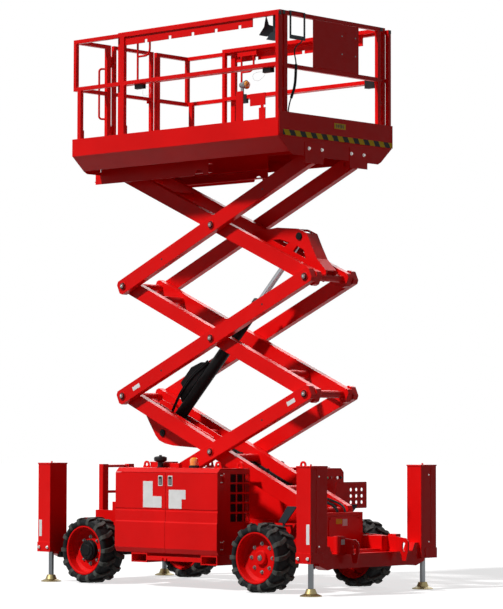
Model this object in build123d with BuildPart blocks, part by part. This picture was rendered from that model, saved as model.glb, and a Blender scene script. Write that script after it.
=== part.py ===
from build123d import *
import math
import os

os.makedirs("parts", exist_ok=True)

# Rough-terrain scissor lift. Millimetres, +X forward, +Z up, right side at -Y.
# Origin on the ground, midway between the four outrigger feet.
arm_length = 2780        # scissor arm, pivot to pivot
lift_angle = 24.35       # of the arms from level, as raised
arm_depth = 150
arm_width = 72
arm_end = 78             # arm beyond its pivot
arm_corner = 28          # cut off each corner of an arm's ends
arm_boss = 8             # raised ring around a pin
inner_face = 198         # inner arms' inner side from the centre plane
arm_gap = 10             # between inner and outer arms
pin_radius = 25
pin_head = 22            # pin beyond the outer arm
pivot_x = 1287           # fixed pivots at the front
pivot_z = 777            # lowest fixed pivot
running_gap = 0.3        # around pins, shafts and rollers
weld_gap = 0.2           # between welded pieces of one node
cross_tube_radius = 38
slide_half = 38          # radius of the rollers in the slide channels
roller_inner, roller_outer = 384, 436

wheel_radius = 337
wheel_y = 722            # wheel's middle plane
tyre_width = 300
rim_radius = 238
rear_axle_x = -1292
front_axle_x = 1098
king_pin_y = 545
king_pin_radius = 18
spindle_radius = 35

rail_inner = 390         # main rails
rail_outer = 450
rail_top = 655
rail_bottom = 340
rear_rail_bottom = 420
nose_inner = 275         # narrow rails between the steered wheels
nose_outer = 335
nose_start = 640
frame_end = 1720         # rails' ends, front and rear
beam_start = 1740        # cross beams that carry the outriggers
beam_end = 1860
beam_bottom, beam_top = 250, 386
shoulder_top = 464       # beams' raised ends beside the outriggers
eye_inner, eye_outer = 362, 378      # tie-down plates
eye_tip = 2000

outrigger_x = 1798
housing_length = 180     # along X
housing_in, housing_out = 705, 940
outrigger_y = housing_out - 104
housing_bottom, housing_top = 310, 1215
lid_thickness = 14
sleeve_top = 410         # lower sleeve around a housing
sleeve = 6
leg_radius = 27
leg_top = 950
pad_radius = 105
pad_height = 70

bay_rear, bay_front = -820, 600
bay_side = 860           # doors' outer face
bay_roof = 1190
bay_shoulder = 1146      # roof's chamfer starts
sheet = 6
door_split = -112
door_thickness = 30
door_gap = 4
hinge_y = 778
hinge_reach = 12         # door hinge axis beyond the end face
hinge_radius = 9

# Heights on the platform are measured from its front pivots.
deck_rear, deck_front = -1495, 1390
deck_side = 854
panel_bottom, panel_top = 186, 365
floor_low, floor_high = 294, 300
extension_floor = 306, 314
rail_height = 1400
middle_rail = 905
tube = 40                # guard rails' square tube

barrel_radius = 62
rod_radius = 30
barrel_length = 1840
rod_length = 1932
eye_radius = 50
plate_in, plate_out = 66, 80    # cylinder bracket plates

angle = math.radians(lift_angle)
reach = arm_length * math.cos(angle)
rise = arm_length * math.sin(angle)
slide_x = pivot_x - reach
middle_x = pivot_x - reach / 2
outer_face = inner_face + arm_width + arm_gap
arm_side = outer_face + arm_width
level = [pivot_z + rise * stage for stage in range(4)]
up = (math.sin(angle), math.cos(angle))      # across an inner arm, as X and Z
bore_radius = pin_radius + running_gap


def block(x, y, z, mode=Mode.ADD):
    """A box between low and high X, Y and Z."""
    with Locations(((x[0] + x[1]) / 2, (y[0] + y[1]) / 2, (z[0] + z[1]) / 2)):
        Box(x[1] - x[0], y[1] - y[0], z[1] - z[0], mode=mode)


def bar(start, end, radius, mode=Mode.ADD):
    """A round bar between two points."""
    path = Vector(*end) - Vector(*start)
    with Locations(Plane(origin=start, z_dir=path)):
        Cylinder(radius, path.length, align=(Align.CENTER, Align.CENTER, Align.MIN), mode=mode)


def prism(plane, points, depth, mode=Mode.ADD, holes=(), windows=()):
    """An outline on a plane with round holes (X, Y, radius) and windows, carried along its normal."""
    with BuildSketch(plane) as outline:
        with BuildLine():
            Polyline(*points, close=True)
        make_face()
        for x, y, radius in holes:
            with Locations((x, y)):
                Circle(radius, mode=Mode.SUBTRACT)
        for window in windows:
            with BuildLine():
                Polyline(*window, close=True)
            make_face(mode=Mode.SUBTRACT)
    extrude(outline.sketch, amount=depth, mode=mode)


def side_view(y):
    """X and Z at a given Y, carried towards -Y."""
    return Plane(origin=(0, y, 0), x_dir=(1, 0, 0), z_dir=(0, -1, 0))


def end_view(x):
    """Y and Z at a given X, carried towards +X."""
    return Plane(origin=(x, 0, 0), x_dir=(0, 1, 0), z_dir=(1, 0, 0))


def bent_bar(points, bend, radius):
    """A round bar through points, with rounded corners."""
    with BuildLine() as path:
        FilletPolyline(*points, radius=bend)
    way = path.wires()[0]
    with BuildSketch(Plane(origin=way @ 0, z_dir=way % 0)) as end:
        Circle(radius)
    sweep(end.sketch, path=way)


def between(posts, width, y, z):
    """Level bars along X between posts, a weld gap off each."""
    for near, far in zip(posts, posts[1:]):
        block((near + width + weld_gap, far - weld_gap), y, z)


def save(piece, label):
    piece.part.label = label
    export_step(piece.part, f"parts/{label}.step")


# Scissor arms. Inner arms rise to the rear from a front pivot, outer arms rise to the front.
def inner_plane(stage, y):
    """Along an inner arm from its front pivot, with Y across it upwards."""
    return Plane(origin=(pivot_x, y, level[stage]), x_dir=(-math.cos(angle), 0, math.sin(angle)),
                 z_dir=(0, 1, 0))


def outer_plane(stage, y):
    """Along an outer arm from its rear pivot, with Y across it upwards."""
    return Plane(origin=(slide_x, y, level[stage]), x_dir=(math.cos(angle), 0, math.sin(angle)),
                 z_dir=(0, -1, 0))


def arm_point(stage, along, across):
    """A point of an inner arm's centre line, as X and Z."""
    return (pivot_x - along * math.cos(angle) + across * up[0],
            level[stage] + along * math.sin(angle) + across * up[1])


lower_pin = (2326.6, -216.6)     # along and across the lowest inner arm
upper_pin = (460.1, 257.6)       # along and across the highest inner arm
lower_x, lower_z = arm_point(0, *lower_pin)
upper_x, upper_z = arm_point(2, *upper_pin)
cylinder_length = math.hypot(upper_x - lower_x, upper_z - lower_z)
cylinder_way = ((upper_x - lower_x) / cylinder_length, (upper_z - lower_z) / cylinder_length)

# An arm's side view, from its first pivot at 0, 0.
half_depth = arm_depth / 2
arm_outline = [(-arm_end, half_depth - arm_corner), (arm_corner - arm_end, half_depth),
               (arm_length + arm_end - arm_corner, half_depth),
               (arm_length + arm_end, half_depth - arm_corner),
               (arm_length + arm_end, arm_corner - half_depth),
               (arm_length + arm_end - arm_corner, -half_depth),
               (arm_corner - arm_end, -half_depth), (-arm_end, arm_corner - half_depth)]
# Cylinder brackets, seen along Y: along and across the arm
lower_bracket = [(1650, -60), (1799, -146), (2138, -274), (2258, -304), (2347, -309), (2415, -284),
                 (2557, -197), (2646, -140), (2700, -60), (2620, 40), (1650, 40)]
upper_bracket = [(-20, 60), (-2, 80), (150, 141), (258, 222), (382, 323), (507, 320), (771, 228),
                 (1050, 75), (1050, -40), (-20, -40)]
upper_windows = [[(700, 132), (560, 152), (600, 88), (780, 88)],
                 [(480, 88), (450, 158), (352, 156), (290, 88)]]
upper_web = [(382, 323), (258, 222), (150, 141), (-2, 80), (-2, 70), (154, 132), (263, 214), (384, 312)]
bracket_depth = plate_out - plate_in

# stage, cross tubes along the arm
inner_stages = [(0, (0, 500, 1250, arm_length)), (1, (0, 500, arm_length - 350, arm_length)),
                (2, (0, arm_length - 500, arm_length))]
for stage, tubes in inner_stages:
    with BuildPart() as inner_arms:
        prism(inner_plane(stage, inner_face), arm_outline, arm_width)
        # along the arm, how far out the pin reaches
        pins = [(0, arm_side + pin_head if stage else nose_inner + 40),
                (arm_length / 2, arm_side + pin_head),
                (arm_length, roller_inner if stage == 2 else arm_side + pin_head)]
        for along, end in pins:
            x, z = arm_point(stage, along, 0)
            bar((x, inner_face + arm_width + weld_gap, z), (x, end, z), pin_radius)
        for along in tubes:
            x, z = arm_point(stage, along, 0)
            bar((x, 0, z), (x, inner_face - weld_gap, z), cross_tube_radius)
        if stage == 2:
            x, z = arm_point(stage, arm_length, 0)
            bar((x, roller_inner, z), (x, roller_outer, z), slide_half)
        if stage != 1:
            bracket, windows, pin, stubs = ((lower_bracket, [], lower_pin, (1850, 2520)) if stage == 0
                                            else (upper_bracket, upper_windows, upper_pin, (60, 960)))
            pin_hole = [(*pin, pin_radius + weld_gap)] if stage == 0 else []
            prism(inner_plane(stage, plate_in), bracket, bracket_depth, holes=pin_hole, windows=windows)
            x, z = arm_point(stage, *pin)
            if stage == 0:
                bar((x, 0, z), (x, plate_out + 8, z), pin_radius)
            else:
                bar((x, plate_out + weld_gap, z), (x, plate_out + 8, z), pin_radius + 8)
                prism(inner_plane(stage, 0), upper_web, plate_in - weld_gap)
            for along in stubs:
                x, z = arm_point(stage, along, 0)
                bar((x, plate_out + weld_gap, z), (x, inner_face - weld_gap, z), cross_tube_radius)
        mirror(about=Plane.XZ)
    save(inner_arms, f"inner_arms_{stage + 1}")

for stage in range(3):
    with BuildPart() as outer_arms:
        # outer_arm's own pins stand at the lowest rear end and the highest front end
        bores = [along for along in (0, arm_length / 2, arm_length)
                 if (stage, along) not in ((0, 0), (2, arm_length))]
        side = outer_plane(stage, -outer_face)
        prism(side, arm_outline, arm_width, holes=[(along, 0, bore_radius) for along in bores])
        with BuildSketch(side.offset(arm_width)) as rings:
            with Locations(*[(along, 0) for along in bores]):
                Circle(pin_radius + 17)
                Circle(bore_radius, mode=Mode.SUBTRACT)
        extrude(rings.sketch, amount=arm_boss)
        if stage == 0:
            bar((slide_x, -arm_side, level[0]), (slide_x, -roller_inner, level[0]), pin_radius)
            bar((slide_x, -roller_inner, level[0]), (slide_x, -roller_outer, level[0]), slide_half)
        if stage == 2:
            bar((pivot_x, -inner_face - arm_width, level[3]), (pivot_x, -arm_side - pin_head, level[3]),
                pin_radius)
        mirror(about=Plane.XZ)
    save(outer_arms, f"outer_arms_{stage + 1}")

# Lift cylinder
lower_end = (lower_x, 0, lower_z)
barrel_plane = Plane(origin=lower_end, x_dir=(0, 1, 0), z_dir=(cylinder_way[0], 0, cylinder_way[1]))
with BuildPart() as barrel:
    with Locations(barrel_plane):
        with Locations((0, 0, eye_radius)):
            Cylinder(barrel_radius, barrel_length - eye_radius,
                     align=(Align.CENTER, Align.CENTER, Align.MIN))
        with Locations((0, 0, barrel_length - 40)):
            Cylinder(barrel_radius + 3, 40, align=(Align.CENTER, Align.CENTER, Align.MIN))
        # valve block on the lower end
        with Locations((0, -barrel_radius - 26, 190)):
            Box(70, 60, 150)
        Cylinder(eye_radius + 5, 2 * (plate_in - 1), rotation=(0, 90, 0))
        Cylinder(bore_radius, 2 * plate_in, rotation=(0, 90, 0), mode=Mode.SUBTRACT)
        with Locations((0, 0, 80)):
            Cylinder(rod_radius + running_gap, barrel_length, mode=Mode.SUBTRACT,
                     align=(Align.CENTER, Align.CENTER, Align.MIN))
save(barrel, "lift_barrel")

with BuildPart() as rod:
    with Locations(barrel_plane):
        with Locations((0, 0, cylinder_length - rod_length)):
            Cylinder(rod_radius, rod_length - 20, align=(Align.CENTER, Align.CENTER, Align.MIN))
        with Locations((0, 0, cylinder_length)):
            Cylinder(eye_radius, 2 * (plate_in - 6), rotation=(0, 90, 0))
            Cylinder(bore_radius, 2 * plate_in, rotation=(0, 90, 0), mode=Mode.SUBTRACT)
save(rod, "lift_rod")

# Chassis: two deep rails, a narrow nose between the steered wheels, cross beams and slide channels
channel_rear, channel_closed, channel_front = -1540, -1290, -250
channel_half = slide_half + running_gap
channel_wall = 12
channel_inner = 382
shoulder_low = [(600, beam_bottom), (660, beam_bottom - 10), (790, 285), (790, housing_bottom - weld_gap),
                (600, housing_bottom - weld_gap)]
shoulder_high = [(600, housing_bottom), (housing_in - weld_gap, housing_bottom),
                 (housing_in - weld_gap, shoulder_top), (640, shoulder_top), (600, beam_top)]
block_top = {-1: 556, 1: 400}        # of the blocks between the rails and a beam, rear and front
nose_step, nose_low = 1400, 540      # nose rails come down in front of the pivots
eye_end = [(1850, 532), (1965, 520), (eye_tip, 488), (eye_tip, 400), (1972, 298), (1930, 298),
           (1905, beam_top + weld_gap), (beam_start + weld_gap, beam_top + weld_gap)]
# the front tie-down plates run back along the nose rails
eye_starts = {-1: [(beam_start + weld_gap, 556)],
              1: [(beam_start + weld_gap, 400 + weld_gap), (1460, 400 + weld_gap), (1460, 556)]}
pocket_in, pocket_out = 98, 113      # half widths of a fork pocket
pocket_side = 840
pocket_x = -498, 470
with BuildPart() as chassis:
    gap = weld_gap
    # main rails, the step in to the nose, and the nose between the steered wheels
    block((-frame_end + gap, -930 - gap), (rail_inner, rail_outer), (rear_rail_bottom, rail_top))
    prism(side_view(rail_outer), [(-930, rail_top), (-930, rear_rail_bottom), (-850, rail_bottom),
                                  (nose_start - gap, rail_bottom), (nose_start - gap, rail_top)],
          rail_outer - rail_inner)
    block((nose_start, nose_start + 60), (0, rail_outer), (rail_bottom, 580))
    prism(side_view(nose_outer), [(nose_start + 60 + gap, 400), (frame_end - gap, 400),
                                  (frame_end - gap, nose_low), (nose_step + 60, nose_low),
                                  (nose_step, rail_top), (nose_start + 60 + gap, rail_top)],
          nose_outer - nose_inner)
    block((1480, frame_end - gap), (0, nose_inner - gap), (400, 412))
    block((frame_end, beam_start), (nose_inner, eye_inner - gap), (block_top[1] + gap, nose_low))
    for x in (-1660, -1020, -300):
        block((x, x + 60), (0, rail_inner - gap), (440, 580))
    for end in (-1, 1):
        start, front = end * beam_start, end * beam_end
        beam_x = sorted((start + end * gap, front))
        block(sorted((end * frame_end, start)), (0, rail_outer), (beam_bottom, block_top[end]))
        block(beam_x, (0, 600 - gap), (beam_bottom, beam_top))
        for outline in (shoulder_low, shoulder_high):
            prism(end_view(beam_x[0]), outline, beam_x[1] - beam_x[0])
        block(sorted((start + end * gap, end * 1835)), (eye_outer + gap, rail_outer), (beam_top + gap, 556))
        prism(side_view(eye_outer), [(end * x, z) for x, z in eye_starts[end] + eye_end],
              eye_outer - eye_inner)
        with BuildSketch(side_view(eye_outer)) as slot:
            with Locations((end * 1945, 430)):
                SlotOverall(96, 38, rotation=90)
        extrude(slot.sketch, amount=eye_outer - eye_inner, mode=Mode.SUBTRACT)
    # slide channel
    track = level[0] - channel_half
    for start, top in ((channel_rear, track), (channel_closed, level[0] + 51)):
        stop = channel_closed - gap if start == channel_rear else channel_front
        block((start, stop), (rail_outer - 10, rail_outer), (rail_top + gap, top))
    for start, low in ((channel_rear, track - channel_wall), (channel_closed, level[0] + channel_half)):
        block((start, channel_front), (channel_inner, rail_outer - 10 - gap), (low, low + channel_wall))
    # pivot ears
    with BuildSketch(side_view(nose_inner + 20)) as ear:
        with BuildLine():
            Polyline((pivot_x - 110, rail_top + gap), (pivot_x - 60, level[0]))
            ThreePointArc((pivot_x - 60, level[0]), (pivot_x, level[0] + 60), (pivot_x + 60, level[0]))
            Polyline((pivot_x + 60, level[0]), (pivot_x + 110, rail_top + gap),
                     (pivot_x - 110, rail_top + gap))
        make_face()
        with Locations((pivot_x, level[0])):
            Circle(bore_radius, mode=Mode.SUBTRACT)
    extrude(ear.sketch, amount=20)
    # fork pockets, and a step bar between them
    for x in pocket_x:
        for low, high in ((245, 255), (325, rail_bottom - gap)):
            block((x - pocket_out, x + pocket_out), (0, pocket_side), (low, high))
        for wall in (x - pocket_out, x + pocket_in):
            block((wall, wall + pocket_out - pocket_in), (0, pocket_side), (255 + gap, 325 - gap))
    block((pocket_x[0] + pocket_out + gap, pocket_x[1] - pocket_out - gap), (pocket_side - 45, pocket_side),
          (268, 312))
    for x in (-170, -118):
        bar((x, pocket_side + gap, 290), (x, pocket_side + 12, 290), 12)
    mirror(about=Plane.XZ)
save(chassis, "chassis_frame")

with BuildPart() as rear_axle:
    block((rear_axle_x - 60, rear_axle_x + 60), (0, 520), (wheel_radius - 60, wheel_radius + 60))
    block((rear_axle_x - 80, rear_axle_x + 80), (rail_inner, rail_outer),
          (wheel_radius + 60, rear_rail_bottom))
    bar((rear_axle_x, 500, wheel_radius), (rear_axle_x, wheel_y - 68, wheel_radius), 90)
    bar((rear_axle_x, wheel_y - 70, wheel_radius), (rear_axle_x, wheel_y + 14, wheel_radius),
        spindle_radius)
    mirror(about=Plane.XZ)
save(rear_axle, "rear_axle")

yoke_half = 105          # yoke above and below the axle's centre
with BuildPart() as front_axle:
    block((front_axle_x - 55, front_axle_x + 55), (0, 440), (wheel_radius - 55, wheel_radius + 55))
    block((front_axle_x - 80, front_axle_x + 80), (nose_inner, nose_outer), (wheel_radius + 55, 400))
    block((front_axle_x - 45, front_axle_x + 45), (420, 450),
          (wheel_radius - yoke_half, wheel_radius + yoke_half))
    for z in (wheel_radius - yoke_half, wheel_radius + yoke_half - 28):
        block((front_axle_x - 45, front_axle_x + 45), (420, king_pin_y), (z, z + 28))
        bar((front_axle_x, king_pin_y, z), (front_axle_x, king_pin_y, z + 28), 45)
    bar((front_axle_x, king_pin_y, wheel_radius - yoke_half),
        (front_axle_x, king_pin_y, wheel_radius + yoke_half), king_pin_radius)
    mirror(about=Plane.XZ)
save(front_axle, "front_axle")

for side_name, side in (("left", 1), ("right", -1)):
    y = side * king_pin_y
    with BuildPart() as knuckle:
        half = yoke_half - 28 - 2
        bar((front_axle_x, y, wheel_radius - half), (front_axle_x, y, wheel_radius + half), 38)
        bar((front_axle_x, y, wheel_radius), (front_axle_x, side * (wheel_y - 68), wheel_radius), 48)
        bar((front_axle_x, y, wheel_radius), (front_axle_x, side * (wheel_y + 14), wheel_radius),
            spindle_radius)
        block((front_axle_x - 150, front_axle_x), sorted((y - side * 15, y + side * 15)),
              (wheel_radius - 12, wheel_radius + 12))
        bar((front_axle_x, y, wheel_radius - half - 2), (front_axle_x, y, wheel_radius + half + 2),
            king_pin_radius + running_gap, mode=Mode.SUBTRACT)
    save(knuckle, f"steering_knuckle_{side_name}")

# Tyres: a carcass of revolution under two rows of slanted lugs
lug_count = 14
carcass = [(rim_radius + running_gap, 120.3), (rim_radius + 12.5, 125.2), (263, tyre_width / 2),
           (298, tyre_width / 2 - 3), (314, tyre_width / 2 - 24)]
lug_outline = [(34, -6), (80, -6), (38, 75), (22, 152), (-24, 152), (-10, 62)]
with BuildPart() as lugs:
    for row, turn in ((1, 0), (-1, 180 / lug_count)):
        for step in range(lug_count):
            facing = Plane.XY.rotated((0, 0, 360 / lug_count * step + turn))
            radial = Plane(origin=facing.x_dir * 290, x_dir=facing.y_dir, z_dir=facing.x_dir)
            prism(radial, [(x, row * y) for x, y in lug_outline], 60)
    with BuildSketch(Plane.XZ):
        with BuildLine():
            Polyline((250, -150), (320, -150), (wheel_radius, -112), (wheel_radius, 112), (320, 150),
                     (250, 150), close=True)
        make_face()
    revolve(axis=Axis.Z, mode=Mode.INTERSECT)
with BuildPart() as tyre_form:
    with BuildSketch(Plane.XZ):
        with BuildLine():
            Polyline(*carcass, *[(r, -z) for r, z in reversed(carcass)], close=True)
        make_face()
    revolve(axis=Axis.Z)
    add(lugs.part)


def rim_form(hub_radius, hub_face):
    """A deep-dish rim around Z, open to the outside at +Z."""
    with BuildPart() as rim:
        with BuildSketch(Plane.XZ):
            with BuildLine():
                Polyline((rim_radius + 12, -134), (rim_radius + 12, -126), (rim_radius, -121),
                         (rim_radius, 121), (rim_radius + 12, 126), (rim_radius + 12, 134),
                         (rim_radius - 2, 134), (rim_radius - 8, 128), (rim_radius - 8, 50),
                         (rim_radius - 40, 32), (hub_radius, 32), (hub_radius, hub_face - 8),
                         (hub_radius - 8, hub_face), (0, hub_face), (0, 22),
                         (spindle_radius + running_gap, 22), (spindle_radius + running_gap, -62),
                         (60, -62), (60, 18), (rim_radius - 46, 18), (rim_radius - 8, 38),
                         (rim_radius - 8, -128), (rim_radius - 2, -134), close=True)
            make_face()
        revolve(axis=Axis.Z)
        for radius, sides, height in ((15, 6, 11), (9, 24, 18)):
            with BuildSketch(Plane.XY.offset(32)) as nuts:
                with PolarLocations(137, 8):
                    RegularPolygon(radius, sides)
            extrude(nuts.sketch, amount=height)
    return rim.part


rims = {"front": rim_form(70, 64), "rear": rim_form(60, 36)}
with BuildPart() as drive_hub:
    with BuildSketch(Plane.XZ):
        with BuildLine():
            Polyline((0, 36), (62, 36), (62, 34), (104, 34), (104, 74), (92, 84), (88, 84), (88, 96), (60, 96),
                     (52, 104), (0, 104), close=True)
        make_face()
    revolve(axis=Axis.Z)
    with PolarLocations(74, 8):
        with Locations((0, 0, 96)):
            Cylinder(6, 5, align=(Align.CENTER, Align.CENTER, Align.MIN))
for end, x in (("front", front_axle_x), ("rear", rear_axle_x)):
    for side_name, side in (("left", 1), ("right", -1)):
        centre = (x, side * wheel_y, wheel_radius)
        with BuildPart() as tyre:
            with Locations(Plane(origin=centre, x_dir=(1, 0, 0), z_dir=(0, -1, 0))):
                add(tyre_form.part)
        save(tyre, f"tyre_{end}_{side_name}")
        with BuildPart() as rim:
            with Locations(Plane(origin=centre, x_dir=(1, 0, 0), z_dir=(0, side, 0))):
                add(rims[end])
        save(rim, f"rim_{end}_{side_name}")
        if end == "rear":
            with BuildPart() as hub:
                with Locations(Plane(origin=centre, x_dir=(1, 0, 0), z_dir=(0, side, 0))):
                    add(drive_hub.part)
            save(hub, f"hub_rear_{side_name}")

# Outriggers: four fixed housings, each with a sliding leg and a foot
with BuildPart() as housings:
    half = housing_length / 2
    for x in (-outrigger_x, outrigger_x):
        block((x - half, x + half), (housing_in, housing_out), (housing_bottom, housing_top))
        block((x - half - 4, x + half + 4), (housing_in - 4, housing_out + 4),
              (housing_top, housing_top + lid_thickness))
        bar((x, outrigger_y, housing_top + lid_thickness), (x, outrigger_y, housing_top + 30), 9)
        block((x - half - sleeve, x + half + sleeve), (housing_in + 60, housing_out + sleeve),
              (housing_bottom, sleeve_top))
        for across in (-62, 62):
            bar((x + across, housing_out + sleeve, 358), (x + across, housing_out + sleeve + 8, 358), 11)
        bar((x, outrigger_y, housing_bottom), (x, outrigger_y, housing_top - 5),
            leg_radius + running_gap, mode=Mode.SUBTRACT)
    mirror(about=Plane.XZ)
save(housings, "outrigger_housings")

for end, x in (("front", outrigger_x), ("rear", -outrigger_x)):
    for side_name, side in (("left", 1), ("right", -1)):
        y = side * outrigger_y
        with BuildPart() as leg:
            bar((x, y, pad_height - 8), (x, y, leg_top), leg_radius)
        save(leg, f"leg_{end}_{side_name}")
        with BuildPart() as foot:
            with BuildSketch(Plane(origin=(x, y, 0), x_dir=(1, 0, 0), z_dir=(0, -1, 0))) as section:
                with BuildLine():
                    Polyline((0, 0), (pad_radius, 0), (pad_radius, 8), (60, 26), (42, pad_height),
                             (leg_radius + weld_gap, pad_height),
                             (leg_radius + weld_gap, pad_height - 8 - weld_gap),
                             (0, pad_height - 8 - weld_gap), close=True)
                make_face()
            revolve(section.sketch, axis=Axis((x, y, 0), (0, 0, 1)))
        save(foot, f"foot_{end}_{side_name}")

# Equipment bays with two doors each
post_y = bay_side - door_thickness - 1
lifting_hole = 18
eye_foot = 52            # half the length of a lifting eye's foot
grille_columns, grille_rows = (400, 497, 594), (668, 765, 862, 959, 1056)
for side_name, side in (("left", 1), ("right", -1)):
    with BuildPart() as bay:
        block((bay_rear, bay_front), (rail_outer, hinge_y), (rail_bottom, rail_bottom + 4))
        block((bay_rear + 34, bay_front - 34), (hinge_y, post_y), (rail_bottom, rail_bottom + 4))
        block((bay_rear + sheet + weld_gap, bay_front - sheet - weld_gap), (rail_outer, rail_outer + sheet),
              (rail_bottom + 4 + weld_gap, bay_roof - sheet - weld_gap))
        end_outline = [(rail_outer, rail_bottom + 4 + weld_gap), (hinge_y, rail_bottom + 4 + weld_gap),
                       (hinge_y, bay_shoulder), (bay_side - 4, bay_shoulder), (bay_side - 48, bay_roof - 9),
                       (rail_outer, bay_roof - 9)]
        front_outline = [(rail_inner + 4, rail_top + 3), (rail_outer, rail_top + 3), *end_outline[:-1],
                         (rail_inner + 4, bay_roof - 9)]
        prism(end_view(bay_rear), end_outline, sheet)
        prism(end_view(bay_front - sheet), front_outline, sheet)
        for y in grille_columns:
            for z in grille_rows:
                block((bay_front - sheet, bay_front), (y, y + 80), (z, z + 78), Mode.SUBTRACT)
        for outline in ([(rail_inner, bay_roof), (bay_side - 44, bay_roof), (bay_side - 50, bay_roof - sheet),
                         (rail_inner, bay_roof - sheet)],
                        [(bay_side - 43.8, bay_roof - 0.2), (bay_side, bay_shoulder),
                         (bay_side - 12, bay_shoulder), (bay_side - 49.8, bay_roof - sheet - 0.2)]):
            prism(end_view(bay_rear), outline, bay_front - bay_rear)
        block((door_split - 30, door_split + 30), (post_y - 20, post_y),
              (rail_bottom + 4 + weld_gap, bay_roof - sheet - weld_gap))
        for x in (bay_rear - hinge_reach, bay_front + hinge_reach):
            for z in (436, 1090):
                bar((x, hinge_y, z - 45), (x, hinge_y, z - running_gap), hinge_radius)
                block(sorted((x, bay_rear if x < 0 else bay_front)), (hinge_y - 4, hinge_y),
                      (z - 45, z - running_gap))
        # lifting eyes on the roof
        for x in (-765, 243, 540):
            with BuildSketch(side_view(476)) as eye:
                with BuildLine():
                    Polyline((x + 40, 1216), (x + eye_foot, bay_roof + weld_gap),
                             (x - eye_foot, bay_roof + weld_gap), (x - 40, 1216))
                    ThreePointArc((x - 40, 1216), (x, 1256), (x + 40, 1216))
                make_face()
                with Locations((x, 1218)):
                    Circle(lifting_hole, mode=Mode.SUBTRACT)
            extrude(eye.sketch, amount=12)
        if side < 0:
            block((-660, -280), (456, 500), (bay_roof + weld_gap, 1236))
            mirror(bay.part, about=Plane.XZ, mode=Mode.REPLACE)
    save(bay, f"bay_{side_name}")

door_low, door_high = rail_bottom + 5, bay_shoulder - 3
door_profile = [(bay_side - door_thickness, door_high), (bay_side, door_high), (bay_side, 785),
                (bay_side - 6, 779), (bay_side - 6, 767), (bay_side, 761), (bay_side, 660),
                (bay_side + 8, 648), (bay_side + 8, 392), (bay_side - 18, door_low),
                (bay_side - door_thickness, door_low)]
# end, door's free edge, its hinged edge
doors = [("front", door_split + door_gap / 2, bay_front), ("rear", door_split - door_gap / 2, bay_rear)]
for side_name, side in (("left", 1), ("right", -1)):
    for end, free, hinged in doors:
        outwards = 1 if hinged > free else -1
        edge = hinged + outwards * 2
        axis_x = hinged + outwards * hinge_reach
        with BuildPart() as door:
            section = Plane(origin=(free, 0, 0), x_dir=(0, 1, 0), z_dir=(1, 0, 0))
            prism(section, door_profile, edge - free)
            block(sorted((edge, edge - outwards * door_thickness)),
                  (hinge_y + 3, bay_side - door_thickness + 1), (door_low, door_high))
            # recessed latch plate near the free edge
            middle = free + outwards * 66
            block((middle - 30, middle + 30), (bay_side, bay_side + 4), (1014, 1114))
            block((middle - 18, middle + 18), (bay_side + 4, bay_side + 10), (1030, 1080))
            for z in (436, 1090):
                bar((axis_x, hinge_y, z), (axis_x, hinge_y, z + 45), hinge_radius)
                block(sorted((axis_x, edge - outwards * 4)), (hinge_y, hinge_y + 8), (z, z + 45))
            if side < 0:
                mirror(door.part, about=Plane.XZ, mode=Mode.REPLACE)
        save(door, f"door_{end}_{side_name}")

for label, side in (("engine_block", -1), ("fluid_tank", 1)):
    with BuildPart() as inside:
        block((-560, 60), sorted((side * 490, side * 780)), (rail_bottom + 4, 880))
    save(inside, label)

# Items on and around the chassis
post_in, post_out = 150, 230
with BuildPart() as ladder:
    rungs = (640, 920, 1190)
    block((-frame_end, -frame_end + 60), (post_in, post_out), (412, 1212))
    for z in rungs:
        bar((-frame_end + 30, 0, z), (-frame_end + 30, post_in - weld_gap, z), 15)
    mirror(about=Plane.XZ)
save(ladder, "entry_ladder")

box_back, box_face = 1425, 1500
with BuildPart() as valve_box:
    block((box_back, box_face), (-nose_inner + 4, nose_inner - 4), (412, 767))
    prism(end_view(box_face), [(-240, 470), (240, 470), (240, 730), (-240, 730)], 5)
    for y in (-215, 215):
        for z in (492, 708):
            bar((box_face + 5, y, z), (box_face + 12, y, z), 9)
save(valve_box, "valve_box")

# Ground controls: a cabinet on the left bay's front end, clear of the door's hinges
cabinet_front = 833
cabinet_side = 760
with BuildPart() as control_box:
    prism(end_view(bay_front + weld_gap),
          [(455, 705), (cabinet_side, 705), (cabinet_side, bay_shoulder), (716, bay_roof - 4),
           (455, bay_roof - 4)], cabinet_front - bay_front - weld_gap)
    bar((cabinet_front, 650, 1090), (cabinet_front + 8, 650, 1090), 14)
    for y in (500, 560, 710):
        bar((cabinet_front, y, 1090), (cabinet_front + 10, y, 1090), 11)
save(control_box, "ground_control_box")

# Guard over the left front wheel: a plate with nine round holes on a foot from the nose rail
guard_x = 1050
guard_low, guard_high = 785, 1050
with BuildPart() as guard:
    prism(end_view(guard_x), [(385, guard_low), (849, guard_low), (857, 793), (857, 1042),
                              (849, guard_high), (385, guard_high)], 6,
          holes=[(y, z, 18) for y in (613, 697, 781) for z in (846, 909, 973)])
    prism(end_view(guard_x), [(300, rail_top + weld_gap), (nose_outer, rail_top + weld_gap), (432, 740),
                              (432, guard_low - weld_gap), (385, guard_low - weld_gap), (300, 700)], 6)
save(guard, "guard_plate")

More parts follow.
